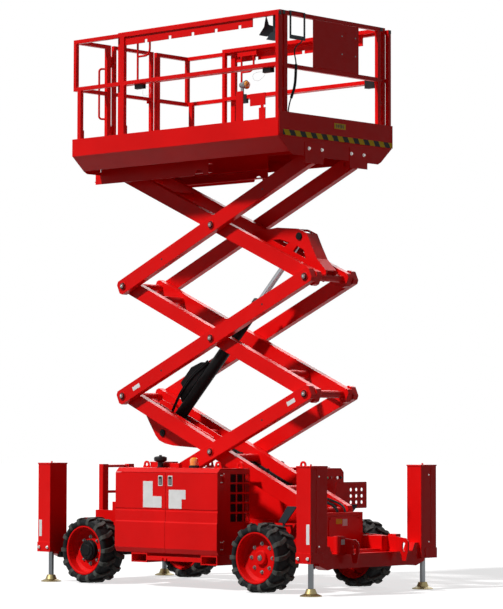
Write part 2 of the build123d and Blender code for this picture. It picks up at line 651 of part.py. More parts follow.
cleaner_profile = [(0, bay_roof), (40, bay_roof), (40, bay_roof + 8), (28, bay_roof + 8), (28, 1240), (44, 1250),
                   (62, 1256), (66, 1268), (66, 1288), (60, 1296), (40, 1302), (14, 1304), (14, 1316), (0, 1316)]
beacon_profile = [(0, bay_roof), (52, bay_roof), (52, bay_roof + 20), (42, bay_roof + 24), (42, 1262),
                  (38, 1280), (24, 1292), (0, 1296)]
for label, x, profile in (("intake_cleaner", -490, cleaner_profile), ("roof_beacon", -15, beacon_profile)):
    with BuildPart() as turned:
        with BuildSketch(Plane(origin=(x, -550, 0), x_dir=(1, 0, 0), z_dir=(0, -1, 0))) as section:
            with BuildLine():
                Polyline(*profile, close=True)
            make_face()
        revolve(section.sketch, axis=Axis((x, -550, 0), (0, 0, 1)))
    save(turned, label)

# Flat guards over the steered wheels' inner edges
with BuildPart() as flaps:
    prism(side_view(458), [(1040, 673), (1125, 657), (1282, 829), (1157, 829)], 12)
    block((1085, 1115), (nose_outer, 446 - weld_gap), (630, 642))
    block((1085, 1115), (438, 446 - weld_gap), (642 + weld_gap, 700))
    mirror(about=Plane.XZ)
save(flaps, "wheel_guards")

# Platform
base = level[3]
rail_low, rail_up = base + panel_top, base + rail_height
mid_low, mid_up = base + middle_rail - tube, base + middle_rail
with BuildPart() as deck:
    gap = weld_gap
    within = (deck_rear + 6 + gap, deck_front - 6 - gap)
    panel_inner = deck_side - 6
    block(within, (0, panel_inner - gap), (base + floor_low, base + floor_high))
    block((deck_rear, deck_front), (panel_inner, deck_side), (base + panel_bottom, rail_low))
    prism(end_view(within[0]), [(deck_side, base + panel_bottom - gap), (690, base + 46), (690, base + 54),
                                (panel_inner - 2, base + panel_bottom - gap)], within[1] - within[0])
    end_outline = [(0, base + 20), (640, base + 20), (690, base + 46), (panel_inner - gap, base + panel_bottom),
                   (panel_inner - gap, base + floor_high), (0, base + floor_high)]
    # the rear plate leaves room for the arms' ends and the slide channels
    rear_outline = [(0, base + 100), (450 + gap, base + 100), (450 + gap, base + 20), *end_outline[1:]]
    prism(end_view(deck_rear), rear_outline, 6)
    prism(end_view(deck_front - 6), end_outline, 6)
    for x in (-900, -200, 450):
        block((x, x + 40), (0, 440 - gap), (base + 244, base + floor_low - gap))
    # bolted plates in front of the pivots
    block((deck_front + gap, deck_front + 6), (198, 469), (base - 45, base + 160))
    for y in (221, 412):
        bar((deck_front + 6 + gap, y, base + 95), (deck_front + 13, y, base + 95), 12)
    # wear pads that carry the extension
    block((deck_front - 100, deck_front), (700, 760),
          (base + floor_high + gap, base + extension_floor[0] - running_gap))
    # slide channels
    prism(side_view(450), [(-1565, base - 73), (-125, base - 73), (-110, base - 40), (-80, base - 16),
                           (-40, base - 16), (-10, base - 40), (5, base - 73), (70, base - 73),
                           (70, base + floor_low - gap), (-1485, base + floor_low - gap), (-1485, base + 51),
                           (-1565, base + 51)], 10)
    for low in (-channel_half - channel_wall, channel_half):
        block((-1585, 70), (channel_inner, 440 - gap), (base + low, base + low + channel_wall))
    block((70 + gap, deck_front - 6 - gap), (440, 450), (base + 186, base + floor_low - gap))
    # pivot brackets
    for y in (inner_face + arm_width - 16, arm_side + 8):
        with BuildSketch(side_view(y)) as ear:
            with BuildLine():
                Polyline((pivot_x - 60, base), (pivot_x - 80, base + floor_low - gap),
                         (deck_front - 6 - gap, base + floor_low - gap), (deck_front - 6 - gap, base - 30),
                         (pivot_x + 52, base - 30))
                ThreePointArc((pivot_x + 52, base - 30), (pivot_x, base - 60), (pivot_x - 60, base))
            make_face()
            with Locations((pivot_x, base)):
                Circle(bore_radius, mode=Mode.SUBTRACT)
        extrude(ear.sketch, amount=-8)
    mirror(about=Plane.XZ)
save(deck, "deck_frame")

rack = [(-734, 1320), (-734, 1275), (-460, 1275), (-460, 1310), (-420, 1310), (-420, 1275), (-120, 1275),
        (-120, 1310), (-80, 1310), (-80, 1275), (200, 1275), (200, 1310), (240, 1310), (240, 1275),
        (520, 1275), (520, 1310), (560, 1310), (560, 1275), (840, 1275), (840, 1310), (880, 1310),
        (880, 1275), (1032, 1275), (1032, 1359.8), (-734, 1359.8)]
rail_y = (deck_side - sheet - tube, deck_side - sheet)
front_post = deck_front - tube - 2
for side_name, side in (("left", 1), ("right", -1)):
    with BuildPart() as rails:
        floor_up = base + floor_high + weld_gap
        block((deck_rear + 8, deck_front - 2), rail_y, (rail_up - tube, rail_up))
        # start, width, bottom, top
        posts = [(deck_rear + 8, tube, mid_up, rail_up - tube), (-1427, 50, floor_up, mid_low),
                 (-800, 60, floor_up, rail_up - tube), (front_post, tube, floor_up, rail_up - tube)]
        for x, width, bottom, top in posts:
            block((x, x + width), rail_y, (bottom + weld_gap, top - weld_gap))
        block((deck_rear + 8, -800 - weld_gap), rail_y, (mid_low, mid_up))
        block((-740 + weld_gap, front_post - weld_gap), rail_y, (mid_low, mid_up))
        prism(side_view(rail_y[0] + 24), [(x, base + z) for x, z in rack], 8)
        # sockets on the deck's edge
        for x in (-1432, -805):
            block((x, x + 60 if x < -1000 else x + 70), (rail_y[0] - 7, rail_y[0] - weld_gap),
                  (rail_low + weld_gap, rail_low + 90))
        if side < 0:
            mirror(rails.part, about=Plane.XZ, mode=Mode.REPLACE)
    save(rails, f"guard_rail_{side_name}")

gate_low, gate_high = -300, 290
gate_tube = 35
rear_x = (deck_rear + 8, deck_rear + 8 + tube)
rear_posts = [(-400, -345), (335, 390)]
gate_hinge_x, gate_hinge_y = deck_rear + 28, -325
with BuildPart() as rear_rail:
    inner = rail_y[0] - weld_gap
    for y in rear_posts:
        block(rear_x, y, (base + floor_high, rail_up))
    for low, high in ((-inner, -400), (390, inner)):
        side = (low, high - weld_gap) if low < 0 else (low + weld_gap, high)
        block(rear_x, side, (rail_up - tube, rail_up))
        block(rear_x, side, (mid_low, mid_up))
        block((rear_x[0], rear_x[0] + 6), side, (base + floor_high + weld_gap, rail_low))
    for z in (rail_low + 150, rail_up - 150):
        bar((gate_hinge_x, gate_hinge_y, z - 80), (gate_hinge_x, gate_hinge_y, z - 30 - running_gap), 9)
        block((gate_hinge_x - 4, gate_hinge_x + 4), (-345, gate_hinge_y), (z - 80, z - 30 - running_gap))
    # grab handles beside the gate
    for post, y in ((-385, -440), (375, 430)):
        bent_bar([(rear_x[0], post, base + 620), (rear_x[0] - 40, y, base + 620),
                  (rear_x[0] - 40, y, base + 1150), (rear_x[0], post, base + 1150)], 30, 11)
save(rear_rail, "guard_rail_rear")

with BuildPart() as gate:
    for y in ((gate_low, gate_low + gate_tube), (gate_high - gate_tube, gate_high)):
        block(rear_x, y, (rail_low, rail_up))
    for top in (rail_low + gate_tube, mid_up, rail_up):
        block(rear_x, (gate_low + gate_tube + weld_gap, gate_high - gate_tube - weld_gap),
              (top - gate_tube, top))
    block((rear_x[0] - 6, rear_x[0]), (gate_high - 60, gate_high + 20), (mid_up - 60, mid_up - 10))
    for z in (rail_low + 150, rail_up - 150):
        bar((gate_hinge_x, gate_hinge_y, z - 30), (gate_hinge_x, gate_hinge_y, z + 30), 9)
        block((gate_hinge_x - 4, gate_hinge_x + 4), (gate_hinge_y, gate_low), (z - 30, z + 30))
save(gate, "rear_gate")

# Sliding extension: floor sheet, front toe board and its own rails inside the fixed ones
slide_rear = -880
panel_face = deck_front + 8
with BuildPart() as extension:
    low, high = (base + height for height in extension_floor)
    block((slide_rear, panel_face - weld_gap), (0, 800), (low, high))
    block((slide_rear, slide_rear + 100), (700, 760), (base + floor_high + running_gap, low - weld_gap))
    block((panel_face, panel_face + 6), (0, deck_side), (base + 196, base + 425))
    block((panel_face - 40, panel_face - weld_gap), (0, 800), (base + 419, base + 425))
    mirror(about=Plane.XZ)
save(extension, "extension_deck")

outer_y = (deck_side - 2 * tube - 18, deck_side - tube - 18)
slide_up = base + rail_height + 20
deck_up = high + weld_gap
front_x = (deck_front - 75, deck_front - 35)
with BuildPart() as extension_rails:
    for x in (slide_rear, front_x[0]):
        block((x, x + tube), outer_y, (deck_up, slide_up - tube - weld_gap))
    block((slide_rear, front_x[1]), outer_y, (slide_up - tube, slide_up))
    between((slide_rear, front_x[0]), tube, outer_y, (mid_low, mid_up))
    # front frame with a second post at each side
    block(front_x, (0, outer_y[0] - weld_gap), (slide_up - tube, slide_up))
    block(front_x, (outer_y[0] - 75, outer_y[0] - 25), (deck_up, slide_up - tube - weld_gap))
    block(front_x, (0, outer_y[0] - 75 - weld_gap), (mid_low, mid_up))
    for z in (mid_low, base + 640):
        block((front_x[0] + 5, front_x[1] - 5), (outer_y[0] - 25 + weld_gap, outer_y[0] - weld_gap),
              (z, z + 30))
    # latch plates and their handles
    y = (outer_y[0] + outer_y[1]) / 2
    block((-669, -395), (y - 6, y + 6), (base + 1322, slide_up - tube - weld_gap))
    bar((-612, y, mid_up + weld_gap), (-612, y, base + 1322 - weld_gap), 11)
    bent_bar([(-438, y, base + 1322 - weld_gap), (-438, y, base + 1152), (-598, y, base + 1152)], 70, 11)
    mirror(about=Plane.XZ)
save(extension_rails, "extension_rails")

with BuildPart() as latches:
    for x, width in ((-649, 130), (1120, 126)):
        block((x, x + width), (outer_y[0] - 6, outer_y[0] - weld_gap), (mid_low - 45, mid_up + 8))
        block((x + 12, x + width - 12), (outer_y[0] - 6, outer_y[1]), (mid_low - 45, mid_low - weld_gap))
    mirror(about=Plane.XZ)
save(latches, "rail_latches")

with BuildPart() as sign:
    prism(end_view(front_x[1]), [(-311, mid_up), (378, mid_up), (378, base + 1378), (-311, base + 1378)], 4,
          holes=[(y, z, 5) for y in (123, 326) for z in (base + 1080, base + 1260)])
save(sign, "front_plate")

with BuildPart() as holder:
    tray_side = -640
    prism(side_view(tray_side), [(1138, base + 1150), (1309, base + 1120), (1309, base + 1215),
                                 (1200, base + 1215)], 110)
    block((1236, 1296), (-outer_y[0] + weld_gap, -outer_y[0] + 8), (base + 1215 + weld_gap, slide_up - 6))
    block((1236, 1296), (-outer_y[0] + 8, -742), (base + 1215 + weld_gap, base + 1260))
    # strap over the front rail, with a frame in front of it
    block((front_x[0] - 4, front_x[1] + 8), (-653, -429), (slide_up + weld_gap, slide_up + 5))
    for y in (-653, -449):
        block((front_x[1] + weld_gap, front_x[1] + 8), (y, y + 20), (base + 1190, slide_up))
    block((front_x[1] + weld_gap, front_x[1] + 8), (-653, -429), (base + 1150, base + 1190 - weld_gap))
save(holder, "control_holder")

stand_y = (-760, -752)
with BuildPart() as alarm_stand:
    block((745, 838), stand_y, (deck_up, base + 674))
    block((933, 1134), stand_y, (base + 514, base + 634))
    block((1050, 1134), stand_y, (deck_up, base + 490))
    block((1075, 1109), stand_y, (base + 490 + weld_gap, base + 514 - weld_gap))
save(alarm_stand, "alarm_stand")

with BuildPart() as horn:
    way = Plane(origin=(790, -740, base + 735), x_dir=(0, 1, 0), z_dir=(1, 0, 0))
    with BuildSketch(Plane(origin=way.origin, x_dir=(1, 0, 0), z_dir=(0, -1, 0))) as section:
        with BuildLine():
            Polyline((0, 0), (0, 24), (20, 28), (76, 44), (84, 44), (84, 0), close=True)
        make_face()
    revolve(section.sketch, axis=Axis(way.origin, (1, 0, 0)))
    block((800, 830), (-751.5, -735), (base + 640, base + 720))
save(horn, "alarm_horn")
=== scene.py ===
import bpy
import numpy as np
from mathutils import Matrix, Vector


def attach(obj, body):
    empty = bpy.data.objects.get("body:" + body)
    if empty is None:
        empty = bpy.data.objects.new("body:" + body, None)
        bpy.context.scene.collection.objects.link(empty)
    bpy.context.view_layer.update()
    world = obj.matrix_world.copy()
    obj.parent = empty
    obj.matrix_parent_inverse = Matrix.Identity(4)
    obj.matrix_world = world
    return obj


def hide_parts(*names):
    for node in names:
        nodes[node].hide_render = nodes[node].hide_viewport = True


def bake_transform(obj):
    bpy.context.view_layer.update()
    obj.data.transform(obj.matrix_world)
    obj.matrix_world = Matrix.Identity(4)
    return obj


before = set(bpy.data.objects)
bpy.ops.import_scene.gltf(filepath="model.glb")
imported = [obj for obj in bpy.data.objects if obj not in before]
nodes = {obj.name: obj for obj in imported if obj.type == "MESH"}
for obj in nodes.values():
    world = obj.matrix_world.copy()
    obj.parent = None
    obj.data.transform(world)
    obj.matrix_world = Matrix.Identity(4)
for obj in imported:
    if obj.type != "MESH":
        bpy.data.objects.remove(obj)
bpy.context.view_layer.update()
print("frame loaded:", len(nodes), "nodes")

# camera
view = {"place": (17.989, -19.161, 1.526), "angles": (92.883, -0.0999, 42.780), "lens": 152.5}
camera = bpy.data.objects.new("viewCamera", bpy.data.cameras.new("viewCamera"))
bpy.context.scene.collection.objects.link(camera)
camera.data.sensor_width = 36
camera.data.lens = view["lens"]
camera.data.clip_end = 400
camera.location = view["place"]
camera.rotation_euler = np.radians(view["angles"])
bpy.context.scene.camera = camera
scene = bpy.context.scene
scene.view_settings.view_transform = "Standard"


# edges bent more than this many degrees stay sharp
creaseAngle = 38


# mesh helpers: every shape is worked out as whole numpy arrays
def newPiece(name, points, faces, material, body, slot=None, smooth=True):
    # one object at the origin from points and faces, riding on a body
    mesh = bpy.data.meshes.new(name)
    mesh.from_pydata(np.asarray(points, float).reshape(-1, 3).tolist(), [], [list(f) for f in faces])
    mesh.polygons.foreach_set("use_smooth", np.full(len(mesh.polygons), smooth))
    mesh.materials.append(material)
    piece = bpy.data.objects.new(name, mesh)
    scene.collection.objects.link(piece)
    if body:
        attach(piece, body)
    if smooth:
        sharp = piece.modifiers.new("edges", "EDGE_SPLIT")
        sharp.split_angle = np.radians(creaseAngle)
    return piece


def gridFaces(rows, columns, closeRows=False, closeColumns=False):
    # quads between neighbouring rows and columns of a grid of points
    r, c = np.meshgrid(np.arange(rows - (not closeRows)), np.arange(columns - (not closeColumns)),
                       indexing="ij")
    r2, c2 = (r + 1) % rows, (c + 1) % columns
    quads = [r * columns + c, r * columns + c2, r2 * columns + c2, r2 * columns + c]
    return np.stack(quads, -1).reshape(-1, 4)


def axes(direction):
    # two unit vectors across a direction, and the direction, as rows
    d = np.asarray(direction, float) / np.linalg.norm(direction)
    helper = np.array([0, 0, 1.0]) if abs(d[2]) < 0.9 else np.array([1.0, 0, 0])
    u = np.cross(helper, d)
    u /= np.linalg.norm(u)
    return np.stack([u, np.cross(d, u), d])


def turnedForm(profile, sides=32, flats=None):
    # points (r cos t, r sin t, h) for each radius and height of the profile; flats gives a hexagon's radius
    r, h = np.asarray(profile, float).T
    t = np.linspace(0, 2 * np.pi, sides, endpoint=False)
    ring = np.ones_like(t)
    if flats:
        part = 2 * np.pi / flats
        ring = np.cos(part / 2) / np.cos((t + part / 2) % part - part / 2)
    x, y = r[:, None] * np.cos(t) * ring, r[:, None] * np.sin(t) * ring
    points = np.stack([x, y, np.broadcast_to(h[:, None], x.shape)], -1).reshape(-1, 3)
    faces = gridFaces(len(r), sides, closeColumns=True)[:, ::-1].tolist()
    faces.append(list(range(sides)))
    faces.append(list(range((len(r) - 1) * sides, len(r) * sides))[::-1])
    return points, [f[::-1] for f in faces]


def copies(forms, places, directions):
    # the same points and faces, turned to each direction and moved to each place
    points, faces = forms
    frames = np.stack([axes(d) for d in directions])
    allPoints = np.einsum("pk,nkc->npc", points, frames) + np.asarray(places, float)[:, None]
    faceList = [[i + n * len(points) for i in f] for n in range(len(places)) for f in faces]
    return allPoints.reshape(-1, 3), faceList


def joined(*shapes):
    # several sets of points and faces as one
    points, faces, start = [], [], 0
    for p, f in shapes:
        points.append(np.asarray(p).reshape(-1, 3))
        faces += [[i + start for i in face] for face in f]
        start += len(points[-1])
    return np.concatenate(points), faces


def curveLine(points):
    # the line of a NURBS spline of order 3 through its control points, read from the curve itself
    data = bpy.data.curves.new("line", "CURVE")
    data.dimensions = "3D"
    data.resolution_u = 24
    spline = data.splines.new("NURBS")
    spline.points.add(len(points) - 1)
    spline.points.foreach_set("co", np.c_[np.asarray(points, float), np.ones(len(points))].ravel())
    spline.order_u = 3
    spline.use_endpoint_u = True
    holder = bpy.data.objects.new("line", data)
    scene.collection.objects.link(holder)
    mesh = bpy.data.meshes.new_from_object(holder)
    line = np.empty(len(mesh.vertices) * 3)
    mesh.vertices.foreach_get("co", line)
    bpy.data.objects.remove(holder)
    bpy.data.meshes.remove(mesh)
    return line.reshape(-1, 3)


def tubeForm(path, radius, sides=12, ribs=None):
    # circles of a radius across a path; ribs = (pitch, depth) adds depth * sin(2 pi s / pitch) to the radius
    # at the distance s along it, as on corrugated hose
    path = np.asarray(path, float)
    tangent = np.gradient(path, axis=0)
    tangent /= np.linalg.norm(tangent, axis=1)[:, None]
    helper = np.array([0.31, 0.27, 0.91])
    helper = helper - (tangent.mean(0) @ helper) * tangent.mean(0)
    u = np.cross(tangent, helper)
    u /= np.linalg.norm(u, axis=1)[:, None]
    v = np.cross(tangent, u)
    along = np.concatenate([[0], np.cumsum(np.linalg.norm(np.diff(path, axis=0), axis=1))])
    r = np.full(len(path), radius, float)
    if ribs:
        r += ribs[1] * np.sin(along * 2 * np.pi / ribs[0])
    t = np.linspace(0, 2 * np.pi, sides, endpoint=False)
    points = path[:, None] + r[:, None, None] * (np.cos(t)[None, :, None] * u[:, None]
                                                 + np.sin(t)[None, :, None] * v[:, None])
    faces = gridFaces(len(path), sides, closeColumns=True).tolist()
    faces.append(list(range(sides))[::-1])
    faces.append(list(range((len(path) - 1) * sides, len(path) * sides)))
    return points.reshape(-1, 3), faces


def plateForm(width, height, thickness, corner, centre, across, upwards, edge=0.0004, steps=6):
    # a rounded rectangle's outline in three rings: back, top of the side, and the face inside a bevelled edge
    q = np.linspace(0, np.pi / 2, steps)
    arcs = [np.stack([np.cos(q + k * np.pi / 2), np.sin(q + k * np.pi / 2)], -1) for k in range(4)]
    signs = np.array([(1, 1), (-1, 1), (-1, -1), (1, -1)], float)

    def ring(inset):
        r = max(corner - inset, 1e-5)
        middle = signs * (np.array([width, height]) / 2 - inset - r)
        return np.concatenate([middle[k] + r * arcs[k] for k in range(4)])

    rings = [(ring(0), 0.0), (ring(0), thickness - edge), (ring(edge), thickness)]
    u, v = np.asarray(across, float), np.asarray(upwards, float)
    n = np.cross(u, v)
    points = np.concatenate([np.asarray(centre, float) + xy[:, :1] * u + xy[:, 1:] * v + h * n
                             for xy, h in rings])
    size = 4 * steps
    faces = gridFaces(3, size, closeColumns=True).tolist()
    faces.append(list(range(size))[::-1])
    faces.append(list(range(2 * size, 3 * size)))
    return points, faces


# materials
def startFinish(name, look):
    # a Principled shader with the plain numbers of a look on its own sockets
    material = bpy.data.materials.new(name)
    material.use_nodes = True
    tree = material.node_tree
    shader = tree.nodes["Principled BSDF"]
    for socket, value in look.items():
        shader.inputs[socket].default_value = value
    coords = tree.nodes.new("ShaderNodeTexCoord")
    return material, tree, shader, coords.outputs["Object"]


def noiseOf(tree, coords, scale, detail=3, stretch=(1, 1, 1), rough=0.5):
    mapping = tree.nodes.new("ShaderNodeMapping")
    mapping.inputs["Scale"].default_value = stretch
    tree.links.new(coords, mapping.inputs["Vector"])
    noise = tree.nodes.new("ShaderNodeTexNoise")
    noise.inputs["Scale"].default_value = scale
    noise.inputs["Detail"].default_value = detail
    noise.inputs["Roughness"].default_value = rough
    tree.links.new(mapping.outputs[0], noise.inputs["Vector"])
    return noise.outputs["Fac"]


def rangeOf(tree, source, low, high, outLow, outHigh):
    node = tree.nodes.new("ShaderNodeMapRange")
    for i, value in zip((1, 2, 3, 4), (low, high, outLow, outHigh)):
        node.inputs[i].default_value = value
    tree.links.new(source, node.inputs[0])
    return node.outputs[0]


def mixOf(tree, factor, first, second):
    # first and second are colours or outputs
    node = tree.nodes.new("ShaderNodeMix")
    node.data_type = "RGBA"
    tree.links.new(factor, node.inputs[0])
    for socket, value in ((node.inputs[6], first), (node.inputs[7], second)):
        if isinstance(value, bpy.types.NodeSocket):
            tree.links.new(value, socket)
        else:
            socket.default_value = (*value, 1)
    return node.outputs[2]


def mathOf(tree, operation, first, second=0.0):
    node = tree.nodes.new("ShaderNodeMath")
    node.operation = operation
    for socket, value in zip(node.inputs, (first, second)):
        if isinstance(value, bpy.types.NodeSocket):
            tree.links.new(value, socket)
        else:
            socket.default_value = value
    return node.outputs[0]


def bumpOf(tree, shader, height, strength, distance, edges=0.0):
    bump = tree.nodes.new("ShaderNodeBump")
    bump.inputs["Strength"].default_value = strength
    bump.inputs["Distance"].default_value = distance
    tree.links.new(height, bump.inputs["Height"])
    if edges:
        bevel = tree.nodes.new("ShaderNodeBevel")
        bevel.samples = 4
        bevel.inputs["Radius"].default_value = edges
        tree.links.new(bevel.outputs[0], bump.inputs["Normal"])
    tree.links.new(bump.outputs[0], shader.inputs["Normal"])


def upwardDust(tree, coords, amount):
    # more on faces that look upwards, broken up by noise
    texture = tree.nodes.new("ShaderNodeTexCoord")
    split = tree.nodes.new("ShaderNodeSeparateXYZ")
    tree.links.new(texture.outputs["Normal"], split.inputs[0])
    up = rangeOf(tree, split.outputs["Z"], 0.3, 1.0, 0.0, 1.0)
    patches = rangeOf(tree, noiseOf(tree, coords, 9, 5, rough=0.65), 0.35, 0.75, 0.2, 1.0)
    return mathOf(tree, "MULTIPLY", mathOf(tree, "MULTIPLY", up, patches), amount)


def paintFinish(name, colour, deep, roughness, dust=0.12, edges=0.004, **look):
    material, tree, shader, coords = startFinish(name, look)
    shade = mixOf(tree, rangeOf(tree, noiseOf(tree, coords, 1.6, 4), 0.35, 0.65, 0.0, 1.0), colour, deep)
    shade = mixOf(tree, upwardDust(tree, coords, dust), shade, (0.30, 0.24, 0.20))
    tree.links.new(shade, shader.inputs["Base Color"])
    rough = rangeOf(tree, noiseOf(tree, coords, 14, 4), 0.3, 0.7, *roughness)
    tree.links.new(rough, shader.inputs["Roughness"])
    bumpOf(tree, shader, noiseOf(tree, coords, 240, 2), 0.05, 0.001, edges)
    return material


redPaint = paintFinish("redPaint", (0.80, 0.005, 0.005), (0.70, 0.004, 0.004), (0.28, 0.40), dust=0.04,
                       **{"Specular IOR Level": 0.10})
rimPaint = paintFinish("rimPaint", (0.78, 0.005, 0.005), (0.66, 0.004, 0.004), (0.48, 0.62), dust=0.05,
                       **{"Specular IOR Level": 0.07})
blackPaint = paintFinish("blackPaint", (0.004, 0.0045, 0.005), (0.008, 0.0085, 0.009), (0.42, 0.58),
                         dust=0.05, edges=0.003, **{"Specular IOR Level": 0.08})
blueBlackPaint = paintFinish("blueBlackPaint", (0.016, 0.022, 0.028), (0.022, 0.030, 0.038), (0.34, 0.46),
                             dust=0.10, **{"Specular IOR Level": 0.16})


def metalFinish(name, colour, second, grain, roughLow, roughHigh, stretch):
    material, tree, shader, coords = startFinish(name, {"Metallic": 1.0})
    tone = rangeOf(tree, noiseOf(tree, coords, grain, 4, stretch), 0.3, 0.7, 0.0, 1.0)
    tree.links.new(mixOf(tree, tone, colour, second), shader.inputs["Base Color"])
    rough = rangeOf(tree, noiseOf(tree, coords, grain * 2, 3, stretch), 0.3, 0.7, roughLow, roughHigh)
    tree.links.new(rough, shader.inputs["Roughness"])
    bumpOf(tree, shader, noiseOf(tree, coords, grain * 6, 2, stretch), 0.08, 0.0006, 0.001)
    return material


chromeRod = metalFinish("chromeRod", (0.30, 0.32, 0.34), (0.42, 0.44, 0.46), 14, 0.22, 0.34, (1, 1, 0.2))
# the outrigger legs take a copy of chromeRod whose extra darkness is painted shade
shadedLegSteel = metalFinish("shadedLegSteel", (0.13, 0.14, 0.15), (0.20, 0.21, 0.22), 14, 0.26, 0.40, (1, 1, 0.2))
# dark steel; on the wheel nuts its darkness is partly painted shade of the deep wheel dish
nutSteel = metalFinish("nutSteel", (0.12, 0.12, 0.12), (0.20, 0.20, 0.19), 50, 0.34, 0.50, (1, 1, 1))
boltSteel = metalFinish("boltSteel", (0.62, 0.62, 0.60), (0.46, 0.46, 0.45), 60, 0.28, 0.42, (1, 1, 1))
# yellow zinc of the outrigger feet, made darker as painted shade
shadedZincPlate = metalFinish("shadedZincPlate", (0.34, 0.27, 0.12), (0.24, 0.20, 0.11), 22, 0.38, 0.56, (1, 1, 1))
wireSteel = metalFinish("wireSteel", (0.50, 0.50, 0.50), (0.30, 0.30, 0.30), 90, 0.3, 0.5, (1, 1, 1))


def rubberFinish(name, dustAndGrooveShade):
    # lugs get a grey of wear and dust, and the grooves keep the dark rubber as painted shade in the recesses
    material, tree, shader, coords = startFinish(name, {"Specular IOR Level": 0.12})
    dark = mixOf(tree, rangeOf(tree, noiseOf(tree, coords, 7, 5), 0.35, 0.65, 0.0, 1.0),
                 (0.005, 0.0055, 0.006), (0.010, 0.011, 0.012))
    if dustAndGrooveShade:
        # the groove share keeps the grey off the grooves: wear and dust on the lugs, painted shade in the
        # grooves
        depth = tree.nodes.new("ShaderNodeAttribute")
        depth.attribute_name = "groove"
        lugDustGrooveShade = mathOf(tree, "SUBTRACT", 1.0, depth.outputs["Fac"])
        patches = rangeOf(tree, noiseOf(tree, coords, 16, 5), 0.3, 0.7, 0.45, 1.0)
        lugDustGrooveShade = mathOf(tree, "MULTIPLY", lugDustGrooveShade, patches)
        dark = mixOf(tree, lugDustGrooveShade, dark, (0.085, 0.088, 0.080))
    tree.links.new(dark, shader.inputs["Base Color"])
    rough = rangeOf(tree, noiseOf(tree, coords, 30, 4), 0.3, 0.7, 0.55, 0.78)
    tree.links.new(rough, shader.inputs["Roughness"])
    bumpOf(tree, shader, noiseOf(tree, coords, 160, 4), 0.25, 0.0015)
    return material


tyreRubber = rubberFinish("tyreRubber", True)
hoseRubber = rubberFinish("hoseRubber", False)


def plasticFinish(name, colour, second, rough, grain=300, **look):
    material, tree, shader, coords = startFinish(name, look)
    tone = rangeOf(tree, noiseOf(tree, coords, 12, 4), 0.35, 0.65, 0.0, 1.0)
    tree.links.new(mixOf(tree, tone, colour, second), shader.inputs["Base Color"])
    tree.links.new(rangeOf(tree, noiseOf(tree, coords, 40, 3), 0.3, 0.7, rough, rough + 0.12),
                   shader.inputs["Roughness"])
    bumpOf(tree, shader, noiseOf(tree, coords, grain, 2), 0.12, 0.0008, 0.001)
    return material


blackPlastic = plasticFinish("blackPlastic", (0.008, 0.0085, 0.009), (0.014, 0.0145, 0.015), 0.42,
                             **{"Specular IOR Level": 0.20})
greyPlastic = plasticFinish("greyPlastic", (0.20, 0.21, 0.22), (0.26, 0.27, 0.28), 0.40)
amberPlastic = plasticFinish("amberPlastic", (0.95, 0.36, 0.02), (0.90, 0.28, 0.01), 0.12, 60,
                             **{"Coat Weight": 0.5, "Coat Roughness": 0.05})
labelWhite = plasticFinish("labelWhite", (0.80, 0.80, 0.79), (0.73, 0.73, 0.72), 0.40,
                           **{"Specular IOR Level": 0.20})
labelYellow = plasticFinish("labelYellow", (0.80, 0.50, 0.02), (0.72, 0.44, 0.02), 0.40,
                            **{"Specular IOR Level": 0.15})
buttonGreen = plasticFinish("buttonGreen", (0.03, 0.32, 0.10), (0.03, 0.26, 0.08), 0.25)
buttonRed = plasticFinish("buttonRed", (0.70, 0.02, 0.02), (0.60, 0.02, 0.02), 0.25)


def stripeFinish(name, pitch, lean):
    # slanted stripes: the fraction of (Y - lean * Z) / pitch, cut at one half
    material, tree, shader, coords = startFinish(name, {"Specular IOR Level": 0.08})
    split = tree.nodes.new("ShaderNodeSeparateXYZ")
    tree.links.new(coords, split.inputs[0])
    slanted = mathOf(tree, "ADD", split.outputs["Y"], mathOf(tree, "MULTIPLY", split.outputs["Z"], lean))
    share = mathOf(tree, "FRACT", mathOf(tree, "DIVIDE", slanted, pitch))
    cut = rangeOf(tree, share, 0.495, 0.505, 0.0, 1.0)
    tree.links.new(mixOf(tree, cut, (0.004, 0.004, 0.004), (0.80, 0.50, 0.01)), shader.inputs["Base Color"])
    rough = rangeOf(tree, noiseOf(tree, coords, 40, 3), 0.3, 0.7, 0.28, 0.42)
    tree.links.new(rough, shader.inputs["Roughness"])
    return material


warningStripe = stripeFinish("warningStripe", 0.158, 0.62)


def treadFinish(name, colour, deep):
    # red deck paint with broad patches of a darker, walked-on tone
    material, tree, shader, coords = startFinish(name, {})
    tone = rangeOf(tree, noiseOf(tree, coords, 5, 5), 0.35, 0.7, 0.0, 1.0)
    tree.links.new(mixOf(tree, tone, colour, deep), shader.inputs["Base Color"])
    rough = rangeOf(tree, noiseOf(tree, coords, 20, 4), 0.3, 0.7, 0.35, 0.6)
    tree.links.new(rough, shader.inputs["Roughness"])
    bumpOf(tree, shader, noiseOf(tree, coords, 200, 2), 0.08, 0.001)
    return material


treadPaint = treadFinish("treadPaint", (0.62, 0.014, 0.016), (0.44, 0.030, 0.028))
print("finishes made")

nodeFinish = {"tyre": tyreRubber, "rim": rimPaint, "foot": shadedZincPlate, "leg": shadedLegSteel, "lift_rod": chromeRod,
              "lift_barrel": blackPaint, "intake_cleaner": blackPlastic, "control_holder": blueBlackPaint,
              "wheel_guards": blueBlackPaint, "rear_axle": blackPaint, "front_axle": blackPaint,
              "steering_knuckle": blackPaint, "hub_rear": blackPaint, "engine_block": blackPaint,
              "fluid_tank": blackPlastic, "rail_latches": blackPlastic, "alarm_horn": greyPlastic,
              "roof_beacon": amberPlastic, "alarm_stand": redPaint}
for name, node in nodes.items():
    finish = next((f for start, f in nodeFinish.items() if name.startswith(start)), redPaint)
    node.data.materials.clear()
    node.data.materials.append(finish)
print("CAD nodes finished")

